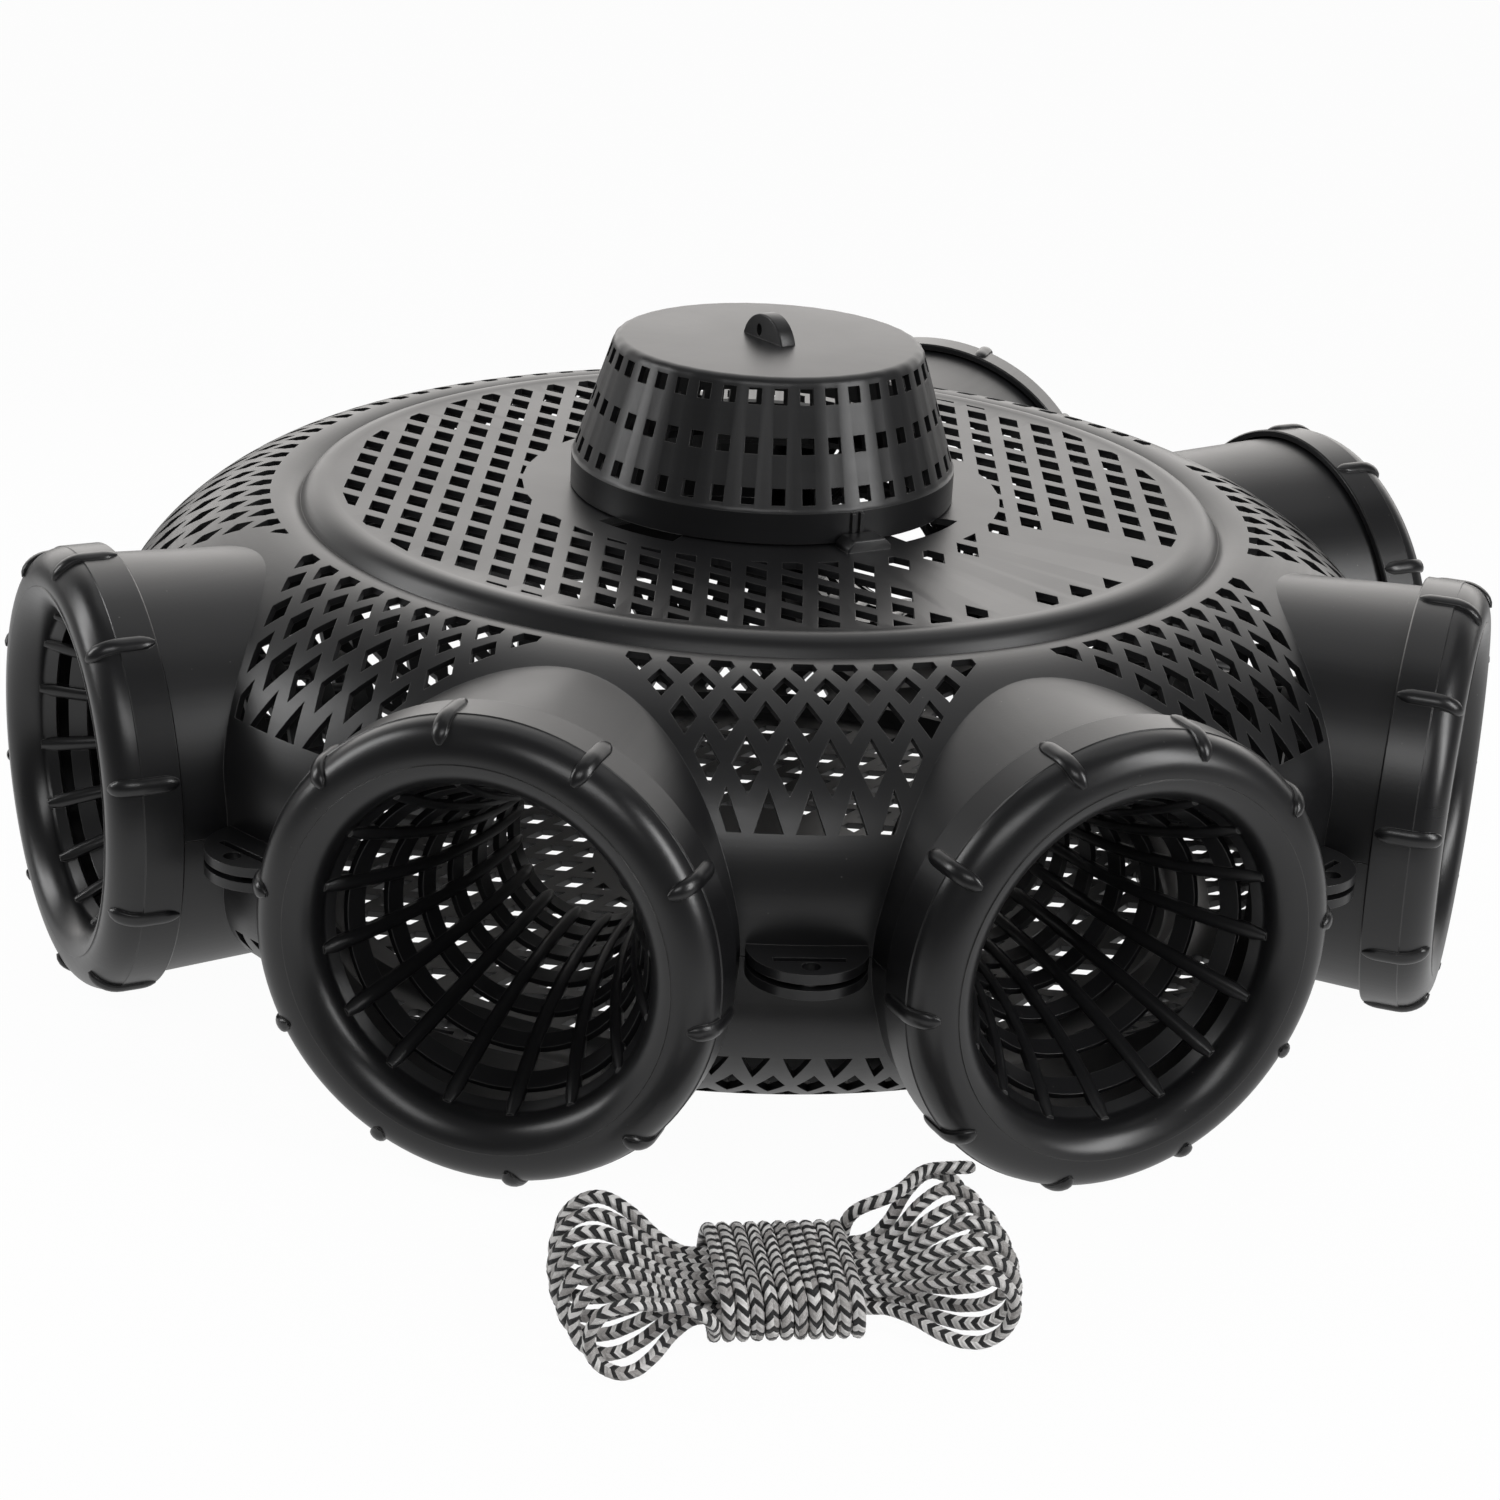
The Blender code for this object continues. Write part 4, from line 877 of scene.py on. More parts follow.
def neck(form, azimuth, bore):
    """Round neck from inside the dome to its end, or the bore through it."""
    sizes = form.sizes
    low = NECK_START
    high = sizes.body_radius + sizes.neck_reach
    slope = (sizes.neck_end_radius - sizes.neck_radius) / (high - low)
    base = sizes.neck_radius - slope * low
    inset = 0.0
    if bore:
        low -= BORE_START_BACK
        high += sizes.wall
        inset = sizes.wall
    cone = [(base + slope * height - inset, height) for height in spaced(high, low, NECK_RINGS)]
    bm = bmesh.new()
    spun(bm, [(0.0, high)] + cone + [(0.0, low)], NECK_SEGMENTS, turned(azimuth) @ TIPPED)
    return bm


def lugs(form, lower):
    """Half-round lugs along the seam, and the holes and slots through them."""
    sizes = form.sizes
    discs = bmesh.new()
    cuts = bmesh.new()
    rim = sizes.body_radius + sizes.lug_reach
    for number in range(PLACES):
        azimuth = shell_azimuth(number + 0.5, lower)
        out = outward(azimuth)
        middle = out * (rim - sizes.lug_radius)
        middle.z = (sizes.lug_pair_gap + sizes.lug_thickness) / 2.0
        cylinder(discs, sizes.lug_radius, sizes.lug_thickness, LUG_SEGMENTS,
                 Matrix.Translation(middle))
        cylinder(cuts, LUG_HOLE_RADIUS, LUG_SLOT.z, LUG_HOLE_SEGMENTS,
                 Matrix.Translation(out * (rim - LUG_HOLE_INSET)))
        cuboid(cuts, LUG_SLOT, Matrix.Translation(out * LUG_SLOT_RADIUS) @ turned(azimuth))
    return discs, cuts


def bayonet_opening():
    """Round opening for the cap."""
    top = SHELL_HEIGHT + OPENING_CUT[0]
    foot = SHELL_HEIGHT - OPENING_CUT[1]
    bm = bmesh.new()
    spun(bm, [(0.0, top), (OPENING_RADIUS, top), (OPENING_RADIUS, foot), (0.0, foot)], CAP_SEGMENTS)
    return bm


def bayonet_notches():
    """Notch in the opening for each of the cap's hooks."""
    top = SHELL_HEIGHT + NOTCH_CUT[0]
    foot = SHELL_HEIGHT - NOTCH_CUT[1]
    inner = OPENING_RADIUS - NOTCH_OVERLAP
    section = [(inner, foot), (NOTCH_RADIUS, foot), (NOTCH_RADIUS, top), (inner, top)]
    half = HOOK_ANGLE / 2.0 + NOTCH_LEAD
    bm = bmesh.new()
    for middle in hook_azimuths(TURN_TO_OPEN):
        sector(bm, section, middle - half, middle + half, steps=8)
    return bm


def bayonet_stops(wall):
    """Ribs under the flat top that each hook turns against when the cap locks."""
    inner = OPENING_RADIUS + wall / 2.0
    foot = SHELL_HEIGHT - wall - STOP_DEPTH
    top = SHELL_HEIGHT - wall / 2.0
    section = [(inner, foot), (FOOT_OUTER, foot), (FOOT_OUTER, top), (inner, top)]
    bm = bmesh.new()
    for edge in hook_azimuths(-HOOK_ANGLE / 2.0 - STOP_PLAY):
        sector(bm, section, edge - STOP_ANGLE, edge, steps=2)
    return bm


def stop_block(wall):
    """Low block with chamfered ends beside the cap's rim."""
    bm = bmesh.new()
    half = BLOCK_SIZE.x / 2.0
    edge = BLOCK_SIZE.z - BLOCK_CHAMFER
    rise = [(-half, -wall / 2.0), (-half, edge), (BLOCK_CHAMFER - half, BLOCK_SIZE.z)]
    outline = rise + [(-a, h) for a, h in reversed(rise)]
    out = outward(HOOK_TURN)
    middle = out * (BLOCK_INNER + BLOCK_SIZE.y / 2.0)
    corners = [middle + sideways(HOOK_TURN) * a + UP * (SHELL_HEIGHT + h) for a, h in outline]
    prism(bm, corners, out, BLOCK_SIZE.y / 2.0, BLOCK_SIZE.y / 2.0)
    bmesh.ops.recalc_face_normals(bm, faces=bm.faces)
    bmesh.ops.bevel(bm, geom=bm.edges[:], offset=BLOCK_ROUNDING, segments=3, affect="EDGES",
                    profile=0.5, material=-1)
    return bm


def half_shell(name, lower):
    """Mesh of a half shell in the trap's frame."""
    form = ShellForm(0.0 if lower else RIM_RISE)
    sizes = form.sizes
    base = bmesh.new()
    spun(base, form.outside() + [Vector((0.0, sizes.seam_gap / 2.0))], SHELL_SEGMENTS)
    hollow = bmesh.new()
    spun(hollow, form.inside(), SHELL_SEGMENTS)
    discs, lug_cuts = lugs(form, lower)
    under = Matrix.Translation((0.0, 0.0, sizes.seam_gap / 2.0 - SEAM_CUTTER[2] / 2.0))
    steps = [("UNION", neck(form, azimuth, False)) for azimuth in neck_azimuths(lower)]
    steps += [("UNION", discs), ("DIFFERENCE", hollow)]
    steps += [("DIFFERENCE", neck(form, azimuth, True)) for azimuth in neck_azimuths(lower)]
    steps += [("DIFFERENCE", cuboid(bmesh.new(), SEAM_CUTTER, under)), ("DIFFERENCE", lug_cuts)]
    if lower:
        steps.append(("DIFFERENCE", plate_slots(form, sizes.base_disc, False)))
    else:
        steps += [("DIFFERENCE", bayonet_opening()), ("DIFFERENCE", bayonet_notches()),
                  ("UNION", bayonet_stops(sizes.wall)), ("UNION", stop_block(sizes.wall)),
                  ("DIFFERENCE", plate_slots(form, sizes.plate_collar, True))]
    steps.append(("DIFFERENCE", dome_slots(form, lower)))
    mesh = carved(name, base, steps)
    dust_and_highlight_mask = Matrix.Translation(UP * SEAM_Z)
    mesh.transform(dust_and_highlight_mask @ Matrix.Rotation(math.pi, 4, "X") if lower else dust_and_highlight_mask)
    return mesh


# Entrance rings

THROAT_DEPTH = 3.5 * MM
THROAT_FACES = 6
SKIRT_ROUNDING = 0.5 * MM
SKIRT_TOP = 0.6 * MM
LIP_FOOT = 0.9 * MM
FIRST_BAND = 10.0 * MM
BAND_PITCH = 13.4 * MM
TIP_BAND = 87.8 * MM
BAND_THICKNESS = 2.2 * MM
LIP_STEP = 0.35 * MM
LIP_FACES = 36
LINING_FACES = 24
CREASE_FACE = 20
CREASE_ANGLE = 0.5 * DEGREE
BAR_START = -1.6 * MM
BAR_TURN = 0.81
BAR_END_WIDTH = 4.4 * MM
BAR_STEPS = 22
BAR_SINK = 0.3 * MM
BAR_FLATNESS = 0.8
BAR_BLUNT = 0.55
BAR_SIDES = 12
GRIP_BACK = -11.0 * MM
GRIP_FRONT = 9.8 * MM
GRIP_BACK_STEPS = 7
GRIP_FRONT_STEPS = 8
GRIP_SIDES = 14
# Shares of the full size from the end of a rib inwards
GRIP_SIZES = (0.3, 0.72, 0.93, 1.0)


class RingForm:
    """Lines of an entrance ring: radius against height along the entrance's axis, outwards."""

    def __init__(self):
        self.sizes = bpy.context.scene.trap_ring
        self.lip_centre = RING_RADIUS - self.sizes.lip_radius
        self.mouth = self.lip_centre - self.sizes.lip_radius

    def funnel(self, depth, offset=0.0):
        """Point and direction of the funnel's inner side at a depth, moved outwards by an offset."""
        sizes = self.sizes
        if depth < 0.0:
            angle = math.pi - math.asin(-depth / sizes.lip_radius)
            return self.lip(angle, offset), Vector((-math.sin(angle), math.cos(angle)))
        rest = max(1.0 - depth / sizes.funnel_length, 0.0)
        span = self.mouth - sizes.funnel_tip
        radius = sizes.funnel_tip + span * rest ** sizes.funnel_flare
        slope = span * sizes.funnel_flare * rest ** (sizes.funnel_flare - 1.0) / sizes.funnel_length
        tangent = Vector((-slope, -1.0)).normalized()
        normal = Vector((-tangent.y, tangent.x))
        return Vector((radius, -depth)) + normal * offset, tangent

    def lip(self, angle, inset=0.0):
        """Point of the half-round lip: angle 0 at the shoulder, half a turn at the mouth."""
        radius = self.sizes.lip_radius - inset
        return Vector((self.lip_centre + radius * math.cos(angle), radius * math.sin(angle)))

    def shell(self):
        """Closed section of the skirt, the lip and the plain throat."""
        sizes = self.sizes
        back = -sizes.skirt_length
        outer = [Vector((RING_RADIUS - SKIRT_ROUNDING, back)),
                 Vector((RING_RADIUS, back + SKIRT_ROUNDING)), Vector((RING_RADIUS, SKIRT_TOP)),
                 Vector((RING_RADIUS - LIP_STEP, LIP_FOOT))]
        angles = spaced(0.0, math.pi, LIP_FACES)
        outer += [self.lip(angle, LIP_STEP) for angle in angles[2:CREASE_FACE]]
        outer.append(self.lip(angles[CREASE_FACE] - CREASE_ANGLE, LIP_STEP))
        outer += [self.lip(angle) for angle in angles[CREASE_FACE:]]
        depths = spaced(0.0, THROAT_DEPTH, THROAT_FACES)[1:]
        outer += [self.funnel(depth)[0] for depth in depths]
        inner = [Vector((RING_RADIUS - sizes.wall, back))]
        inner += [self.lip(angle, sizes.wall) for angle in spaced(0.0, math.pi, LINING_FACES)]
        inner += [self.funnel(depth, sizes.wall)[0] for depth in depths]
        return outer + inner[::-1]


def ring_bands(form):
    """Flat bands round the funnel."""
    bm = bmesh.new()
    half = form.sizes.band_width / 2.0
    corners = ((-half, 0.0), (half, 0.0), (half, BAND_THICKNESS), (-half, BAND_THICKNESS))
    for depth in [FIRST_BAND + BAND_PITCH * i for i in range(form.sizes.bands)] + [TIP_BAND]:
        line = [form.funnel(depth + shift, offset)[0] for shift, offset in corners]
        spun(bm, line + line[:1], RING_SEGMENTS)
    return bm


def ring_bars(form):
    """Round bars along the funnel's inner side, with blunt ends."""
    sizes = form.sizes
    bm = bmesh.new()
    for number in range(sizes.bars):
        azimuth = FULL_TURN * (number + BAR_TURN) / sizes.bars
        out = outward(azimuth)
        places = []
        for i in range(BAR_STEPS + 1):
            share = i / BAR_STEPS
            depth = BAR_START + (sizes.funnel_length - BAR_START) * share
            point, tangent = form.funnel(depth, BAR_SINK)
            width = (sizes.bar_width + (BAR_END_WIDTH - sizes.bar_width) * share) / 2.0
            if i in (0, BAR_STEPS):
                width *= BAR_BLUNT
            places.append(place(stood(out, point), sideways(azimuth), stood(out, tangent),
                                width, width * BAR_FLATNESS))
        swept(bm, places, BAR_SIDES)
    return bm


def ring_grips(form):
    """Half-round ribs over the lip's shoulder."""
    sizes = form.sizes
    line = [(Vector((RING_RADIUS, GRIP_BACK * (1.0 - i / GRIP_BACK_STEPS))), Vector((0.0, 1.0)))
            for i in range(GRIP_BACK_STEPS)]
    for angle in spaced(0.0, math.asin(GRIP_FRONT / sizes.lip_radius), GRIP_FRONT_STEPS):
        line.append((form.lip(angle), Vector((-math.sin(angle), math.cos(angle)))))
    bm = bmesh.new()
    for number in range(sizes.grips):
        azimuth = math.pi / 2.0 + FULL_TURN * number / sizes.grips
        out = outward(azimuth)
        places = []
        for i, (point, tangent) in enumerate(line):
            size = GRIP_SIZES[min(i, len(line) - 1 - i, 3)]
            places.append(place(stood(out, point), sideways(azimuth), stood(out, tangent),
                                sizes.grip_width / 2.0 * size, sizes.grip_height * size))
        swept(bm, places, GRIP_SIDES)
    return bm


def entrance_ring(name, number, turn):
    """Mesh of an entrance ring at its place, with its own turn in degrees."""
    form = RingForm()
    base = bmesh.new()
    section = form.shell()
    spun(base, section + section[:1], RING_SEGMENTS)
    mesh = carved(name, base, [("UNION", ring_bands(form)), ("UNION", ring_bars(form)),
                               ("UNION", ring_grips(form))])
    azimuth = number * PLACE_ANGLE
    middle = outward(azimuth) * (LIP_FRONT - form.sizes.lip_radius)
    middle.z = SEAM_Z
    mesh.transform(Matrix.Translation(middle) @ turned(azimuth) @ TIPPED
                   @ turned(turn * DEGREE))
    # A rib that would dip into the floor is pressed flat on it
    for vertex in mesh.vertices:
        vertex.co.z = max(vertex.co.z, FLOOR_Z)
    return mesh


# Bait cap

CAP_GAP = 0.3 * MM
CAP_CORNER = 3.6 * MM
LEAST_CORNER = 0.6 * MM
CORNER_FACES = 8
RIM_ROUNDING = 0.5 * MM
RIM_FOOT_ROUNDING = 0.4 * MM
CONE_FOOT = Vector((67.1, 12.7)) * MM
CAP_ROWS = (16.5, 32.7, 48.5)
HOLE_DEPTH = 4.0 * MM
MARK_SPREAD = 2.6 * DEGREE
MARK_ANGLE = 1.1 * DEGREE
MARK_SINK = 0.6 * MM
MARK_HEIGHT = 0.9 * MM
MARK_FOOT = 0.8 * MM
MARK_TOPS = (1.2 * MM, 0.6 * MM)
FACET_DEPTH = 0.12 * MM
TAB_HOLE = Vector((3.0, 4.4)) * MM
TAB_HOLE_OFFSET = 2.0 * MM
TAB_HOLE_SEGMENTS = 40
TAB_HOLE_RISE = 3.0 * MM
TAB_ROUNDING = 2.1 * MM
TAB_FACES = 32


def cap_section(sizes, inset):
    """Line of the cap from its top's middle to its rim's foot, moved in by an inset."""
    top = Vector((sizes.top_radius, sizes.height))
    slope = (CONE_FOOT - top).normalized()
    normal = Vector((-slope.y, slope.x))
    corner = max(CAP_CORNER - inset, LEAST_CORNER)
    lean = math.atan2(normal.y, normal.x)
    half = (math.pi / 2.0 - lean) / 2.0
    meet = top - Vector((inset * (1.0 - math.sin(lean)) / math.cos(lean), inset))
    centre = Vector((meet.x - corner * math.tan(half), meet.y - corner))
    line = [Vector((0.0, meet.y))]
    line += [centre + Vector((math.cos(angle), math.sin(angle))) * corner
             for angle in spaced(math.pi / 2.0, lean, CORNER_FACES)]
    return line + [CONE_FOOT - normal * inset]


def cap_cup(sizes):
    """Turned cup with its rim and inner flange, slightly faceted between the hole columns."""
    rim = sizes.rim_radius
    flange = CAP_GAP + sizes.wall
    outer = cap_section(sizes, 0.0)
    outer += [(rim - RIM_ROUNDING, sizes.rim_height), (rim, sizes.rim_height - RIM_ROUNDING),
              (rim, CAP_GAP + RIM_FOOT_ROUNDING), (rim - RIM_FOOT_ROUNDING, CAP_GAP),
              (HOOK_INNER, CAP_GAP)]
    inner = cap_section(sizes, sizes.wall)
    inner += [(rim - sizes.wall, sizes.rim_height - sizes.wall), (rim - sizes.wall, flange),
              (HOOK_INNER, flange)]
    bm = bmesh.new()
    spun(bm, outer + inner[::-1], CAP_SEGMENTS)
    for vert in bm.verts:
        if vert.co.z > sizes.rim_height and vert.co.xy.length > sizes.top_radius - CAP_CORNER:
            azimuth = math.atan2(vert.co.x, -vert.co.y)
            vert.co += outward(azimuth) * (FACET_DEPTH * math.cos(sizes.columns * azimuth))
    return bm


def cap_holes(sizes):
    """Rows of small holes square to the cone."""
    top = Vector((sizes.top_radius, sizes.height))
    slope = (top - CONE_FOOT).normalized()
    lean = Matrix.Rotation(math.atan2(slope.y, -slope.x) - math.pi / 2.0, 4, "X")
    size = (sizes.hole_width, 2.0 * HOLE_DEPTH, sizes.hole_height)
    bm = bmesh.new()
    for height in CAP_ROWS:
        spot = CONE_FOOT.lerp(top, (height * MM - CONE_FOOT.y) / (top.y - CONE_FOOT.y))
        for column in range(sizes.columns):
            azimuth = FULL_TURN * (column + 0.5) / sizes.columns
            middle = Matrix.Translation(stood(outward(azimuth), spot))
            cuboid(bm, size, middle @ turned(azimuth) @ lean)
    return bm


def cap_hooks(wall):
    """Four bayonet hooks: a leg through the opening and a foot under the flat top."""
    under = -bpy.context.scene.trap_shell.wall - CAP_GAP
    top = CAP_GAP + wall / 2.0
    section = [(HOOK_INNER, top), (HOOK_OUTER, top), (HOOK_OUTER, under), (FOOT_OUTER, under),
               (FOOT_OUTER, under - FOOT_THICKNESS), (HOOK_INNER, under - FOOT_THICKNESS)]
    bm = bmesh.new()
    for middle in hook_azimuths():
        sector(bm, section, middle - HOOK_ANGLE / 2.0, middle + HOOK_ANGLE / 2.0, steps=12)
    return bm


def cap_marks(sizes):
    """Two short upright ribs on the rim that point at the stop block."""
    inner = sizes.rim_radius - MARK_SINK
    outer = sizes.rim_radius + MARK_HEIGHT
    foot = CAP_GAP + MARK_FOOT
    section = [(inner, foot), (outer, foot), (outer, sizes.rim_height - MARK_TOPS[0]),
               (inner, sizes.rim_height - MARK_TOPS[1])]
    bm = bmesh.new()
    for side in (-1.0, 1.0):
        middle = sizes.mark_turn + side * MARK_SPREAD / 2.0
        sector(bm, section, middle - MARK_ANGLE / 2.0, middle + MARK_ANGLE / 2.0, steps=2)
    return bm


def finger_tab(sizes):
    """Upright half-round tab with rounded edges, and its oval hole."""
    radius = ((sizes.tab_length / 2.0) ** 2 + sizes.tab_height ** 2) / (2.0 * sizes.tab_height)
    centre = sizes.tab_height - radius
    reach = math.acos((-centre - sizes.wall / 2.0) / radius)
    outline = [Vector((radius * math.sin(angle), centre + radius * math.cos(angle), 0.0))
               for angle in spaced(reach, -reach, TAB_FACES)]
    tab = bmesh.new()
    prism(tab, outline, UP, sizes.tab_thickness / 2.0, sizes.tab_thickness / 2.0)
    bmesh.ops.recalc_face_normals(tab, faces=tab.faces)
    bmesh.ops.bevel(tab, geom=tab.edges[:], offset=TAB_ROUNDING, segments=6, affect="EDGES",
                    profile=0.5, material=-1, clamp_overlap=True)
    spot = Matrix.Translation(UP * sizes.height) @ turned(sizes.tab_turn - math.pi / 2.0) @ TIPPED
    bmesh.ops.transform(tab, matrix=spot, verts=tab.verts)
    hole = bmesh.new()
    oval = (spot @ Matrix.Translation((-TAB_HOLE_OFFSET, TAB_HOLE_RISE, 0.0))
            @ Matrix.Scale(TAB_HOLE.x / TAB_HOLE.y, 4, (1, 0, 0)))
    cylinder(hole, TAB_HOLE.y / 2.0, 4.0 * sizes.tab_thickness, TAB_HOLE_SEGMENTS, oval)
    return tab, hole


def bait_cap_mesh():
    """Mesh of the bait cap at its place."""
    sizes = bpy.context.scene.trap_cap
    tab, hole = finger_tab(sizes)
    mesh = carved("bait_cap", cap_cup(sizes), [
        ("DIFFERENCE", cap_holes(sizes)), ("UNION", cap_hooks(sizes.wall)),
        ("UNION", cap_marks(sizes)), ("UNION", tab), ("DIFFERENCE", hole)])
    mesh.transform(Matrix.Translation(UP * PLATEAU_Z))
    return mesh


# Rope: the route of the solid hank, from the same formula

ROPE_DIAMETER = 3.5 * MM
ROPE_GAP = 0.5 * MM
LAYER_GAP = 1.3 * MM
LOOP_GAP = 0.9 * MM
HANK_PLACE = Vector((106.0, -279.0, 0.0)) * MM
HANK_TURN = 26.0 * DEGREE
HANK_LOOPS = 7
HANK_HALF_LENGTH = 66.0 * MM
HANK_CROWN = 7.0 * MM
LOBE_PITCH = 9.4 * MM
FOLD_RADIUS = 10.5 * MM
FOLD_POINTS = 5
FLANK_POINTS = 2
WRAP_TURNS = 11
WRAP_BEND_RADIUS = 7.2 * MM
WRAP_POINTS = 12
TAIL_LENGTH = 30.0 * MM
TAIL_POINTS = 4
TAIL_COLUMN = 0.5
LINK_POINTS = 5
LINK_REACH = 10.0 * MM
FLOOR_LIFT = 0.1 * MM
ROPE_RADIUS = ROPE_DIAMETER / 2.0
WAIST_PITCH = ROPE_DIAMETER + LOOP_GAP
WRAP_PITCH = ROPE_DIAMETER + ROPE_GAP
ROPE_STEP = 0.75 * MM
ROPE_SEGMENTS = 4
ROPE_FUZZ = 0.14 * MM
STRAND_BULGE = 0.2 * MM
# Share of a strand's height that is left where two lanes meet
LANE_EDGE = 0.45
# Thickness of the first points from each end, as shares
SEALED_END = (0.5, 0.8, 0.95)


def smooth_step(value):
    """0 to 1 with a soft start and end."""
    value = min(max(value, 0.0), 1.0)
    return value * value * (3.0 - 2.0 * value)


class Hank:
    """Route of the rope: loops side by side, drawn in at the waist, then wraps round the waist."""

    def __init__(self):
        self.middle = HANK_LOOPS / 2.0
        self.layer_half = ROPE_RADIUS + LAYER_GAP / 2.0
        self.wrap_half_length = WRAP_TURNS * WRAP_PITCH / 2.0
        self.waist_end = self.wrap_half_length + ROPE_DIAMETER
        clear = WRAP_BEND_RADIUS * math.cos(math.pi / (WRAP_POINTS - 2)) - WRAP_PITCH
        self.wrap_arc_centre = self.middle * WAIST_PITCH - math.sqrt(clear ** 2 - self.layer_half ** 2)
        self.waist_z = WRAP_BEND_RADIUS + ROPE_RADIUS + FLOOR_LIFT
        self.lobe_z = FOLD_RADIUS + ROPE_RADIUS + FLOOR_LIFT

    def fold_start(self, column):
        """Distance from the waist's middle at which a column's fold begins."""
        share = (column - self.middle) / self.middle
        return HANK_HALF_LENGTH - ROPE_RADIUS - FOLD_RADIUS - HANK_CROWN * share ** 2

    def spread(self, x, column):
        """How far a run has opened from the waist, 0, to the lobe, 1."""
        start = self.fold_start(column)
        return smooth_step((abs(x) - self.waist_end) / (start - self.waist_end))

    def run_point(self, x, column, layer, fold_column):
        """Point of a run: layer is 1 above and -1 below."""
        spread = self.spread(x, fold_column)
        pitch = WAIST_PITCH + (LOBE_PITCH - WAIST_PITCH) * spread
        half = self.layer_half + (FOLD_RADIUS - self.layer_half) * spread
        height = self.waist_z + (self.lobe_z - self.waist_z) * spread
        return Vector((x, (self.middle - column) * pitch, height + layer * half))

    def run_places(self, start, end):
        """Places along a run between two folds: the flanks and the ends of the waist."""
        def flank(fold):
            inner = math.copysign(self.waist_end, fold)
            return spaced(fold, inner, FLANK_POINTS + 1)[1:]

        return flank(start) + flank(end)[::-1]

    def fold(self, column, side):
        """Half circle at one end; side is 1 at the right, going down, and -1 at the left, going up."""
        start = self.fold_start(column)
        y = (self.middle - column) * LOBE_PITCH
        return [Vector((side * (start + FOLD_RADIUS * math.sin(angle)), y,
                        self.lobe_z + side * FOLD_RADIUS * math.cos(angle)))
                for angle in spaced(0.0, math.pi, FOLD_POINTS - 1)]

    def loops(self):
        """Runs and folds of all the loops, from the waist's top to the waist's top."""
        points = [self.run_point(0.0, 0, 1.0, 0), self.run_point(self.waist_end / 2.0, 0, 1.0, 0)]
        for column in range(HANK_LOOPS):
            right = self.fold_start(column)
            left = -self.fold_start(column + 1)
            if column:
                points += [self.run_point(x, column, 1.0, column)
                           for x in self.run_places(-self.fold_start(column), right)]
            else:
                points += [self.run_point(x, 0, 1.0, 0)
                           for x in self.run_places(-right, right)[FLANK_POINTS + 1:]]
            points += self.fold(column, 1.0)
            for x in self.run_places(right, left):
                share = (right - x) / (right - left)
                lobe = column if x > 0.0 else column + 1
                points.append(self.run_point(x, column + share, -1.0, lobe))
            points += self.fold(column + 1, -1.0)
        start = self.fold_start(HANK_LOOPS)
        points += [self.run_point(x, HANK_LOOPS, 1.0, HANK_LOOPS)
                   for x in self.run_places(-start, start)[:FLANK_POINTS - 1]]
        return points

    def wraps(self):
        """Turns round the waist: down the near side, under, up the far side and over the top."""
        points = []
        half = WRAP_POINTS // 2
        for i in range(WRAP_TURNS * WRAP_POINTS - half + 1):
            share = (i + half / 2.0) % WRAP_POINTS
            turn = min((share % half) / (half - 1), 1.0)
            angle = math.pi * (turn - 0.5)
            x = -self.wrap_half_length + WRAP_PITCH * (i + 0.5) / WRAP_POINTS
            side = -1.0 if share < half else 1.0
            across = side * (self.wrap_arc_centre + WRAP_BEND_RADIUS * math.cos(angle))
            up = self.waist_z + side * WRAP_BEND_RADIUS * math.sin(angle)
            points.append(Vector((x, across, up)))
        return points

    def tail(self):
        """The loose end over the right lobe, above its far strand."""
        points = []
        for i in range(TAIL_POINTS):
            x = self.waist_end + ROPE_DIAMETER + TAIL_LENGTH * (i + 1) / TAIL_POINTS
            point = self.run_point(x, TAIL_COLUMN, 1.0, 0)
            under = self.run_point(max(x, self.waist_end + TAIL_LENGTH / 2.0), 0, 1.0, 0)
            point.z = under.z + WRAP_PITCH
            points.append(point)
        return points


def bent_link(before, start, end, after):
    """Points inside a smooth curve from start to end that goes on from before and towards after."""
    first = start + (start - before).normalized() * LINK_REACH
    second = end - (after - end).normalized() * LINK_REACH
    return [bezier((start, first, second, end), share)
            for share in spaced(0.0, 1.0, LINK_POINTS + 1)[1:-1]]


def hank_route():
    """Route of the whole rope through the loops, the wraps and the tail."""
    hank = Hank()
    loops = hank.loops()
    wraps = hank.wraps()
    tail = hank.tail()
    return (loops + bent_link(*loops[-2:], *wraps[:2]) + wraps
            + bent_link(*wraps[-2:], *tail[:2]) + tail)


def smooth_route(points):
    """The route rounded by a curve through its points, in steps of about ROPE_STEP, on the floor."""
    result = []
    for i in range(len(points) - 1):
        before = points[max(i - 1, 0)]
        start = points[i]
        end = points[i + 1]
        after = points[min(i + 2, len(points) - 1)]
        span = (end - start).length
        leave = (end - before) * (span / max((end - before).length, span))
        arrive = (after - start) * (span / max((after - start).length, span))
        for t in spaced(0.0, 1.0, max(1, round(span / ROPE_STEP)))[:-1]:
            result.append(start * (2.0 * t ** 3 - 3.0 * t ** 2 + 1.0)
                          + leave * (t ** 3 - 2.0 * t ** 2 + t)
                          + end * (3.0 * t ** 2 - 2.0 * t ** 3) + arrive * (t ** 3 - t ** 2))
    result.append(points[-1].copy())
    for point in result:
        point.z = max(point.z, ROPE_RADIUS + ROPE_FUZZ + STRAND_BULGE / 2.0)
    return result


def strand_height(around, along, stitch):
    """Height of the plaited strands over a cord, -0.5 to 0.5, where its map says (around, along)."""
    fold = 1.0 - np.abs((around * BRAID_LANES) % 2.0 - 1.0)
    phase = along / stitch + BRAID_SLOPE * fold
    strand = np.abs(np.sin(math.pi * 2.0 * (phase - DARK_SHARE / 2.0 + 0.25)))
    return strand * (LANE_EDGE + (1.0 - LANE_EDGE) * np.sin(math.pi * fold)) - 0.5


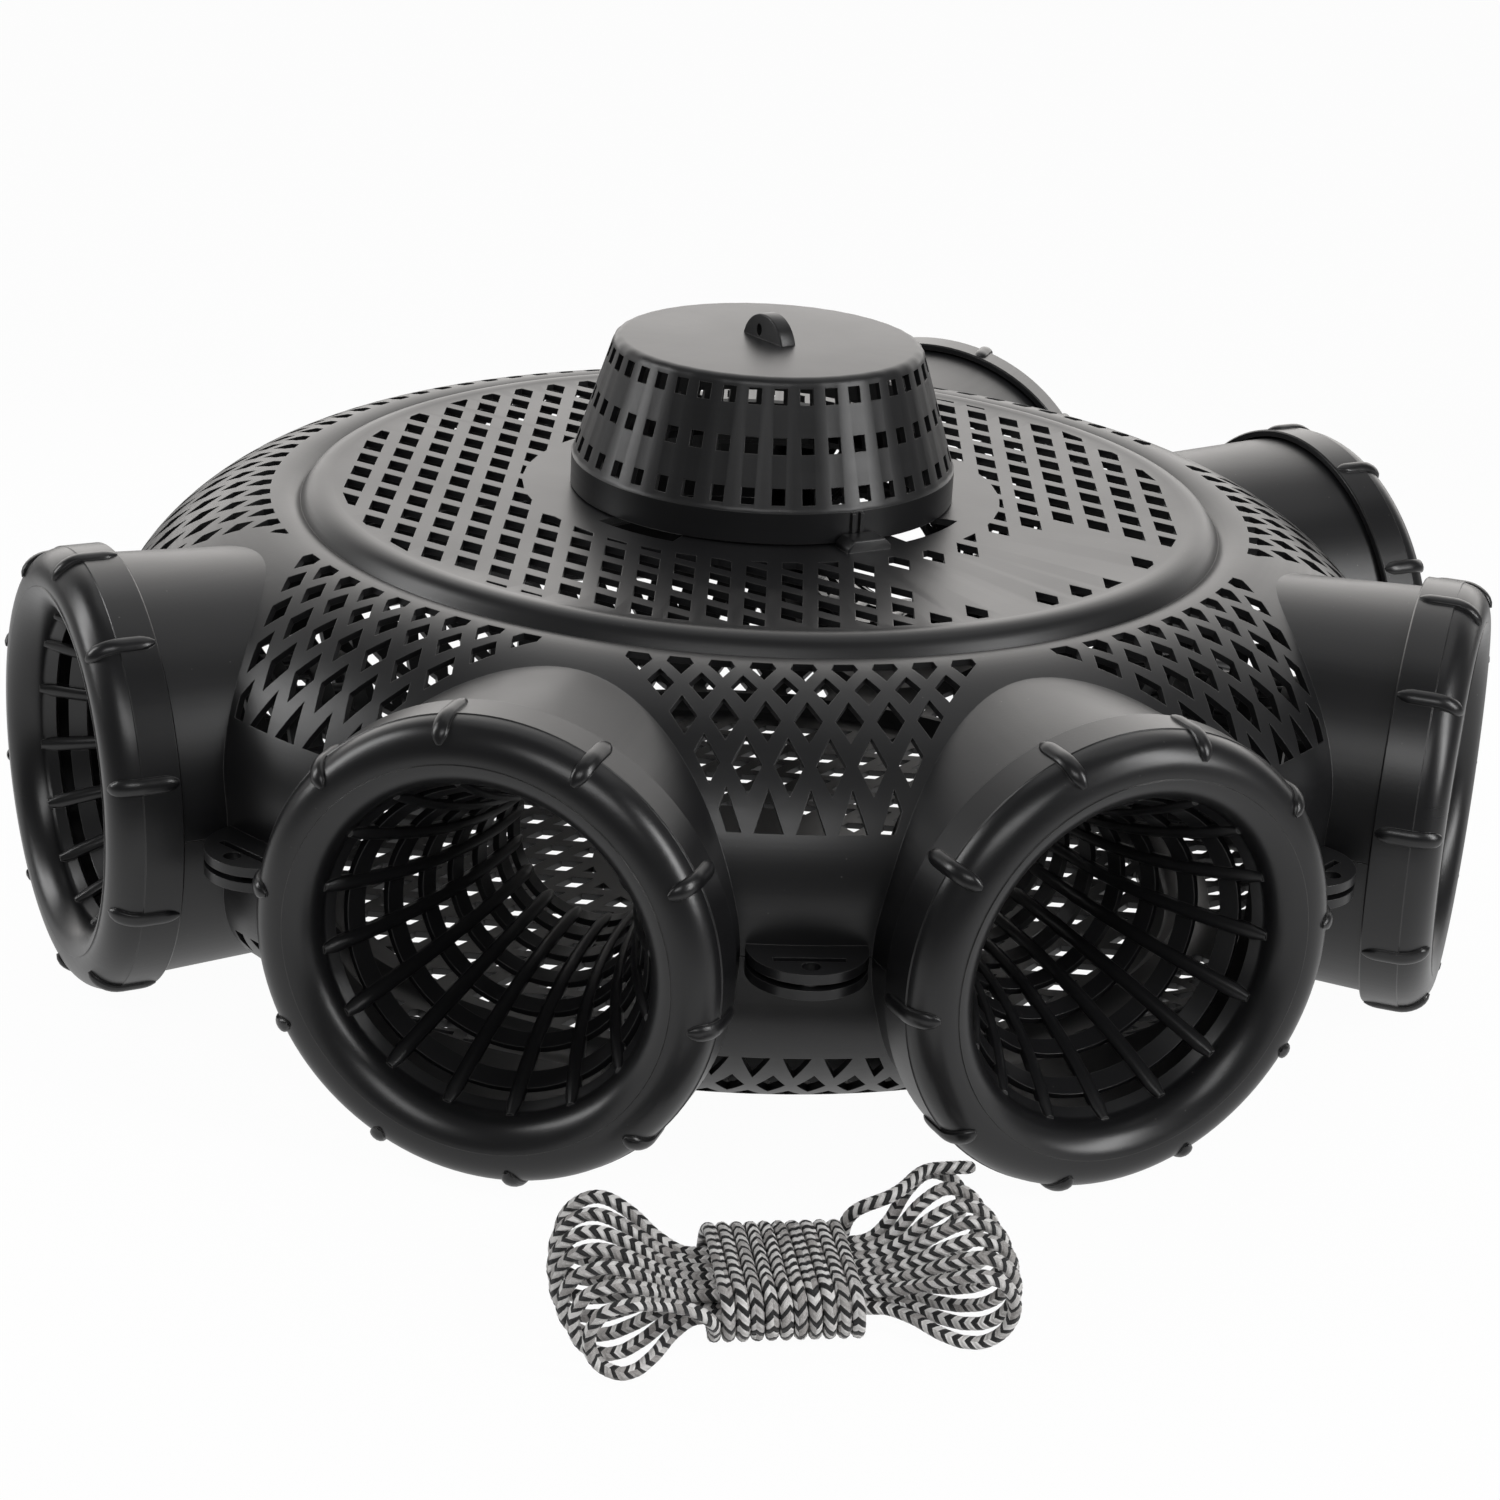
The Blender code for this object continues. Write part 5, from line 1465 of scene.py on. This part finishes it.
def plaited(mesh, stitch):
    """Push the skin of a mapped cord out where its strands lie."""
    corners = np.empty(len(mesh.loops), dtype=np.int32)
    mesh.loops.foreach_get("vertex_index", corners)
    spots = np.empty(len(mesh.loops) * 2, dtype=np.float32)
    mesh.uv_layers["cord_map"].data.foreach_get("uv", spots)
    maps = np.zeros((len(mesh.vertices), 2))
    maps[corners] = spots.reshape(-1, 2)
    places = np.empty(len(mesh.vertices) * 3, dtype=np.float32)
    mesh.vertices.foreach_get("co", places)
    normals = np.empty(len(mesh.vertices) * 3, dtype=np.float32)
    mesh.vertex_normals.foreach_get("vector", normals)
    height = strand_height(maps[:, 0], maps[:, 1], stitch) * STRAND_BULGE
    mesh.vertices.foreach_set("co", places + normals * np.repeat(height, 3))
    mesh.update()


def rope_mesh(route, radius, stitch):
    """Plaited tube along a route, with a map that runs round it in X and along it in metres in Y."""
    curve = bpy.data.curves.new("rope_route", "CURVE")
    curve.dimensions = "3D"
    curve.bevel_depth = radius
    curve.bevel_resolution = ROPE_SEGMENTS
    curve.use_fill_caps = True
    spline = curve.splines.new("POLY")
    spline.points.add(len(route) - 1)
    for spot, point in zip(spline.points, route):
        spot.co = (*point, 1.0)
    for i, share in enumerate(SEALED_END):
        spline.points[i].radius = share
        spline.points[-1 - i].radius = share
    made = linked("rope_route", curve)
    mesh = finished_mesh(made)
    bpy.data.objects.remove(made)
    bpy.data.curves.remove(curve)
    length = sum((after - before).length for before, after in zip(route, route[1:]))
    layer = mesh.uv_layers[0]
    layer.name = "cord_map"
    for loop in layer.data:
        loop.uv = (loop.uv[1], loop.uv[0] * length)
    mesh.name = "rope_hank"
    plaited(mesh, stitch)
    return mesh, length


# Camera, surroundings and lamps

SENSOR_WIDTH = 36.0
CAMERA_SHIFT = (-0.0055, -0.139)
CAMERA_REACH = 20.0
FLOOR_HALF = 6.0
FLOOR_DROP = 0.2 * MM
SURROUND_STRENGTH = 0.12
BACKDROP_STRENGTH = 1.95
BACKDROP_COLOUR = (1.0, 0.975, 0.95, 1.0)
BACKDROP_FADE = (0.5, 0.85)
# Name, watts, width and height, and place; all point at the same spot
LAMPS = (
    ("overhead", 5.0, (2.0, 1.2), Vector((0.0, 0.5, 1.8))),
    ("left", 13.0, (0.5, 1.2), Vector((-1.8, -0.45, 0.9))),
    ("right", 19.0, (0.5, 1.2), Vector((1.8, -0.3, 0.95))),
    ("front", 10.0, (1.3, 0.6), Vector((0.4, -1.7, 1.5))),
)
LAMP_AIM = Vector((0.0, 0.0, 0.1))


def surround(scene):
    """Surroundings that are plain white to the camera, bright behind the trap and dim elsewhere."""
    scene.world = world = scene.world or bpy.data.worlds.new("surround")
    world.use_nodes = True
    tree = Tree(world.node_tree)
    rays = tree.node("ShaderNodeLightPath").outputs
    seen = tree.math("MAXIMUM", rays["Is Camera Ray"], rays["Is Transmission Ray"])
    way = tree.node("ShaderNodeTexCoord").outputs["Generated"]
    facing = tree.node("ShaderNodeVectorMath", {0: way, 1: -outward(scene.trap_stage.azimuth)},
                       operation="DOT_PRODUCT")
    behind = tree.ramp(facing.outputs["Value"], BACKDROP_FADE)
    dim = tree.math("MULTIPLY_ADD", behind, BACKDROP_STRENGTH, SURROUND_STRENGTH)
    tint = tree.math("MULTIPLY", behind, tree.math("SUBTRACT", 1.0, seen))
    tree.feed(world.node_tree.nodes["Background"], {
        "Color": tree.mix(tint, WHITE, BACKDROP_COLOUR),
        "Strength": tree.math("MULTIPLY_ADD", seen, tree.math("SUBTRACT", 1.0, dim), dim),
    })


def lamp(name, power, size, spot):
    """Soft rectangular lamp that the camera doesn't see."""
    data = bpy.data.lights.new(name, "AREA")
    data.energy = power
    data.shape = "RECTANGLE"
    data.size, data.size_y = size
    made = linked(name, data)
    made.location = spot
    made.rotation_euler = (LAMP_AIM - spot).to_track_quat("-Z", "Y").to_euler()
    made.visible_camera = False


# Operators: one for each group of pieces, and the stage

class TRAP_OT_camera(bpy.types.Operator):
    """Put the camera where the picture was taken from"""

    bl_idname = "trap.camera"
    bl_label = "Place Camera"

    def execute(self, context):
        sizes = context.scene.trap_stage
        data = bpy.data.cameras.new("camera")
        data.lens = sizes.lens
        data.sensor_width = SENSOR_WIDTH
        data.shift_x, data.shift_y = CAMERA_SHIFT
        data.clip_end = CAMERA_REACH
        camera = linked("camera", data)
        fall = sizes.elevation
        ahead = Vector((0.0, math.cos(fall), -math.sin(fall)))
        above = Vector((0.0, math.sin(fall), math.cos(fall)))
        level = Vector((1.0, 0.0, 0.0))
        right = level * math.cos(sizes.roll) + above * math.sin(sizes.roll)
        top = above * math.cos(sizes.roll) - level * math.sin(sizes.roll)
        aim = Matrix((right, top, -ahead)).transposed().to_4x4()
        spot = stood(outward(sizes.azimuth), (sizes.distance, sizes.height))
        camera.matrix_world = Matrix.Translation(spot) @ turned(sizes.azimuth) @ aim
        context.scene.camera = camera
        return {"FINISHED"}


class TRAP_OT_rope(bpy.types.Operator):
    """Lay the hank of braided rope in front of the trap"""

    bl_idname = "trap.rope"
    bl_label = "Lay Rope"

    def execute(self, context):
        sizes = context.scene.trap_rope
        laid = Matrix.Translation(HANK_PLACE) @ turned(HANK_TURN)
        route = [laid @ point for point in smooth_route(hank_route())]
        mesh, length = rope_mesh(route, sizes.diameter / 2.0 + ROPE_FUZZ, sizes.stitch)
        rope = piece("rope_hank", mesh, "trap", "braided_rope", braided_cord(), "rope_hank")
        mesh.set_sharp_from_angle(angle=math.pi)
        return {"FINISHED"}


class TRAP_OT_shells(bpy.types.Operator):
    """Mould the two lattice half shells with their necks and lugs"""

    bl_idname = "trap.shells"
    bl_label = "Mould Half Shells"

    def execute(self, context):
        for name, lower in (("upper_shell", False), ("lower_shell", True)):
            material = black_plastic(f"{name}_plastic")
            piece(name, half_shell(name, lower), "trap", "black_plastic", material, name, crease=24.0)
        return {"FINISHED"}


class TRAP_OT_rings(bpy.types.Operator):
    """Mould the six entrance rings with their net funnels"""

    bl_idname = "trap.rings"
    bl_label = "Mould Entrance Rings"

    def execute(self, context):
        material = black_plastic("entrance_plastic", roughness_shift=-0.05, unevenness=0.1)
        for name, (number, turn) in ENTRANCES.items():
            piece(name, entrance_ring(name, number, turn), "trap", "black_plastic", material, name)
        return {"FINISHED"}


class TRAP_OT_cap(bpy.types.Operator):
    """Mould the slotted bait cap"""

    bl_idname = "trap.cap"
    bl_label = "Mould Bait Cap"

    def execute(self, context):
        material = black_plastic("cap_plastic", roughness_shift=0.02)
        piece("bait_cap", bait_cap_mesh(), "cap", "black_plastic", material, "bait_cap")
        return {"FINISHED"}


class TRAP_OT_stage(bpy.types.Operator):
    """Set the pale floor, the white surroundings and the lamps"""

    bl_idname = "trap.stage"
    bl_label = "Set Stage"

    def execute(self, context):
        sizes = context.scene.trap_stage
        bm = bmesh.new()
        bmesh.ops.create_grid(bm, x_segments=1, y_segments=1, size=FLOOR_HALF)
        bmesh.ops.translate(bm, verts=bm.verts, vec=(0.0, 0.0, -FLOOR_DROP))
        mesh = bpy.data.meshes.new("floor")
        bm.to_mesh(mesh)
        bm.free()
        mesh.materials.append(pale_floor(sizes.floor))
        linked("floor", mesh)
        surround(context.scene)
        for row in LAMPS:
            lamp(*row)
        context.scene.view_settings.view_transform = "Standard"
        return {"FINISHED"}


STEPS = (TRAP_OT_camera, TRAP_OT_rope, TRAP_OT_shells, TRAP_OT_rings, TRAP_OT_cap, TRAP_OT_stage)
SETTINGS = {
    "trap_shell": TrapShellSettings,
    "trap_ring": TrapRingSettings,
    "trap_cap": TrapCapSettings,
    "trap_rope": TrapRopeSettings,
    "trap_finish": TrapFinishSettings,
    "trap_stage": TrapStageSettings,
}


class TRAP_PT_panel(bpy.types.Panel):
    """Sidebar panel with the trap's steps in order"""

    bl_idname = "TRAP_PT_panel"
    bl_label = "Crayfish Trap"
    bl_space_type = "VIEW_3D"
    bl_region_type = "UI"
    bl_category = "Crayfish Trap"

    def draw(self, context):
        column = self.layout.column(align=True)
        for step in STEPS:
            column.operator(step.bl_idname)


def register():
    for settings in SETTINGS.values():
        bpy.utils.register_class(settings)
    for step in STEPS:
        bpy.utils.register_class(step)
    bpy.utils.register_class(TRAP_PT_panel)
    for name, settings in SETTINGS.items():
        setattr(bpy.types.Scene, name, PointerProperty(type=settings))


def unregister():
    for name in SETTINGS:
        delattr(bpy.types.Scene, name)
    bpy.utils.unregister_class(TRAP_PT_panel)
    for step in reversed(STEPS):
        bpy.utils.unregister_class(step)
    for settings in SETTINGS.values():
        bpy.utils.unregister_class(settings)


def main():
    register()
    bpy.ops.trap.camera()
    bpy.ops.trap.rope()
    bpy.ops.trap.shells()
    bpy.ops.trap.rings()
    bpy.ops.trap.cap()
    bpy.ops.trap.stage()


if __name__ == "__main__":
    main()
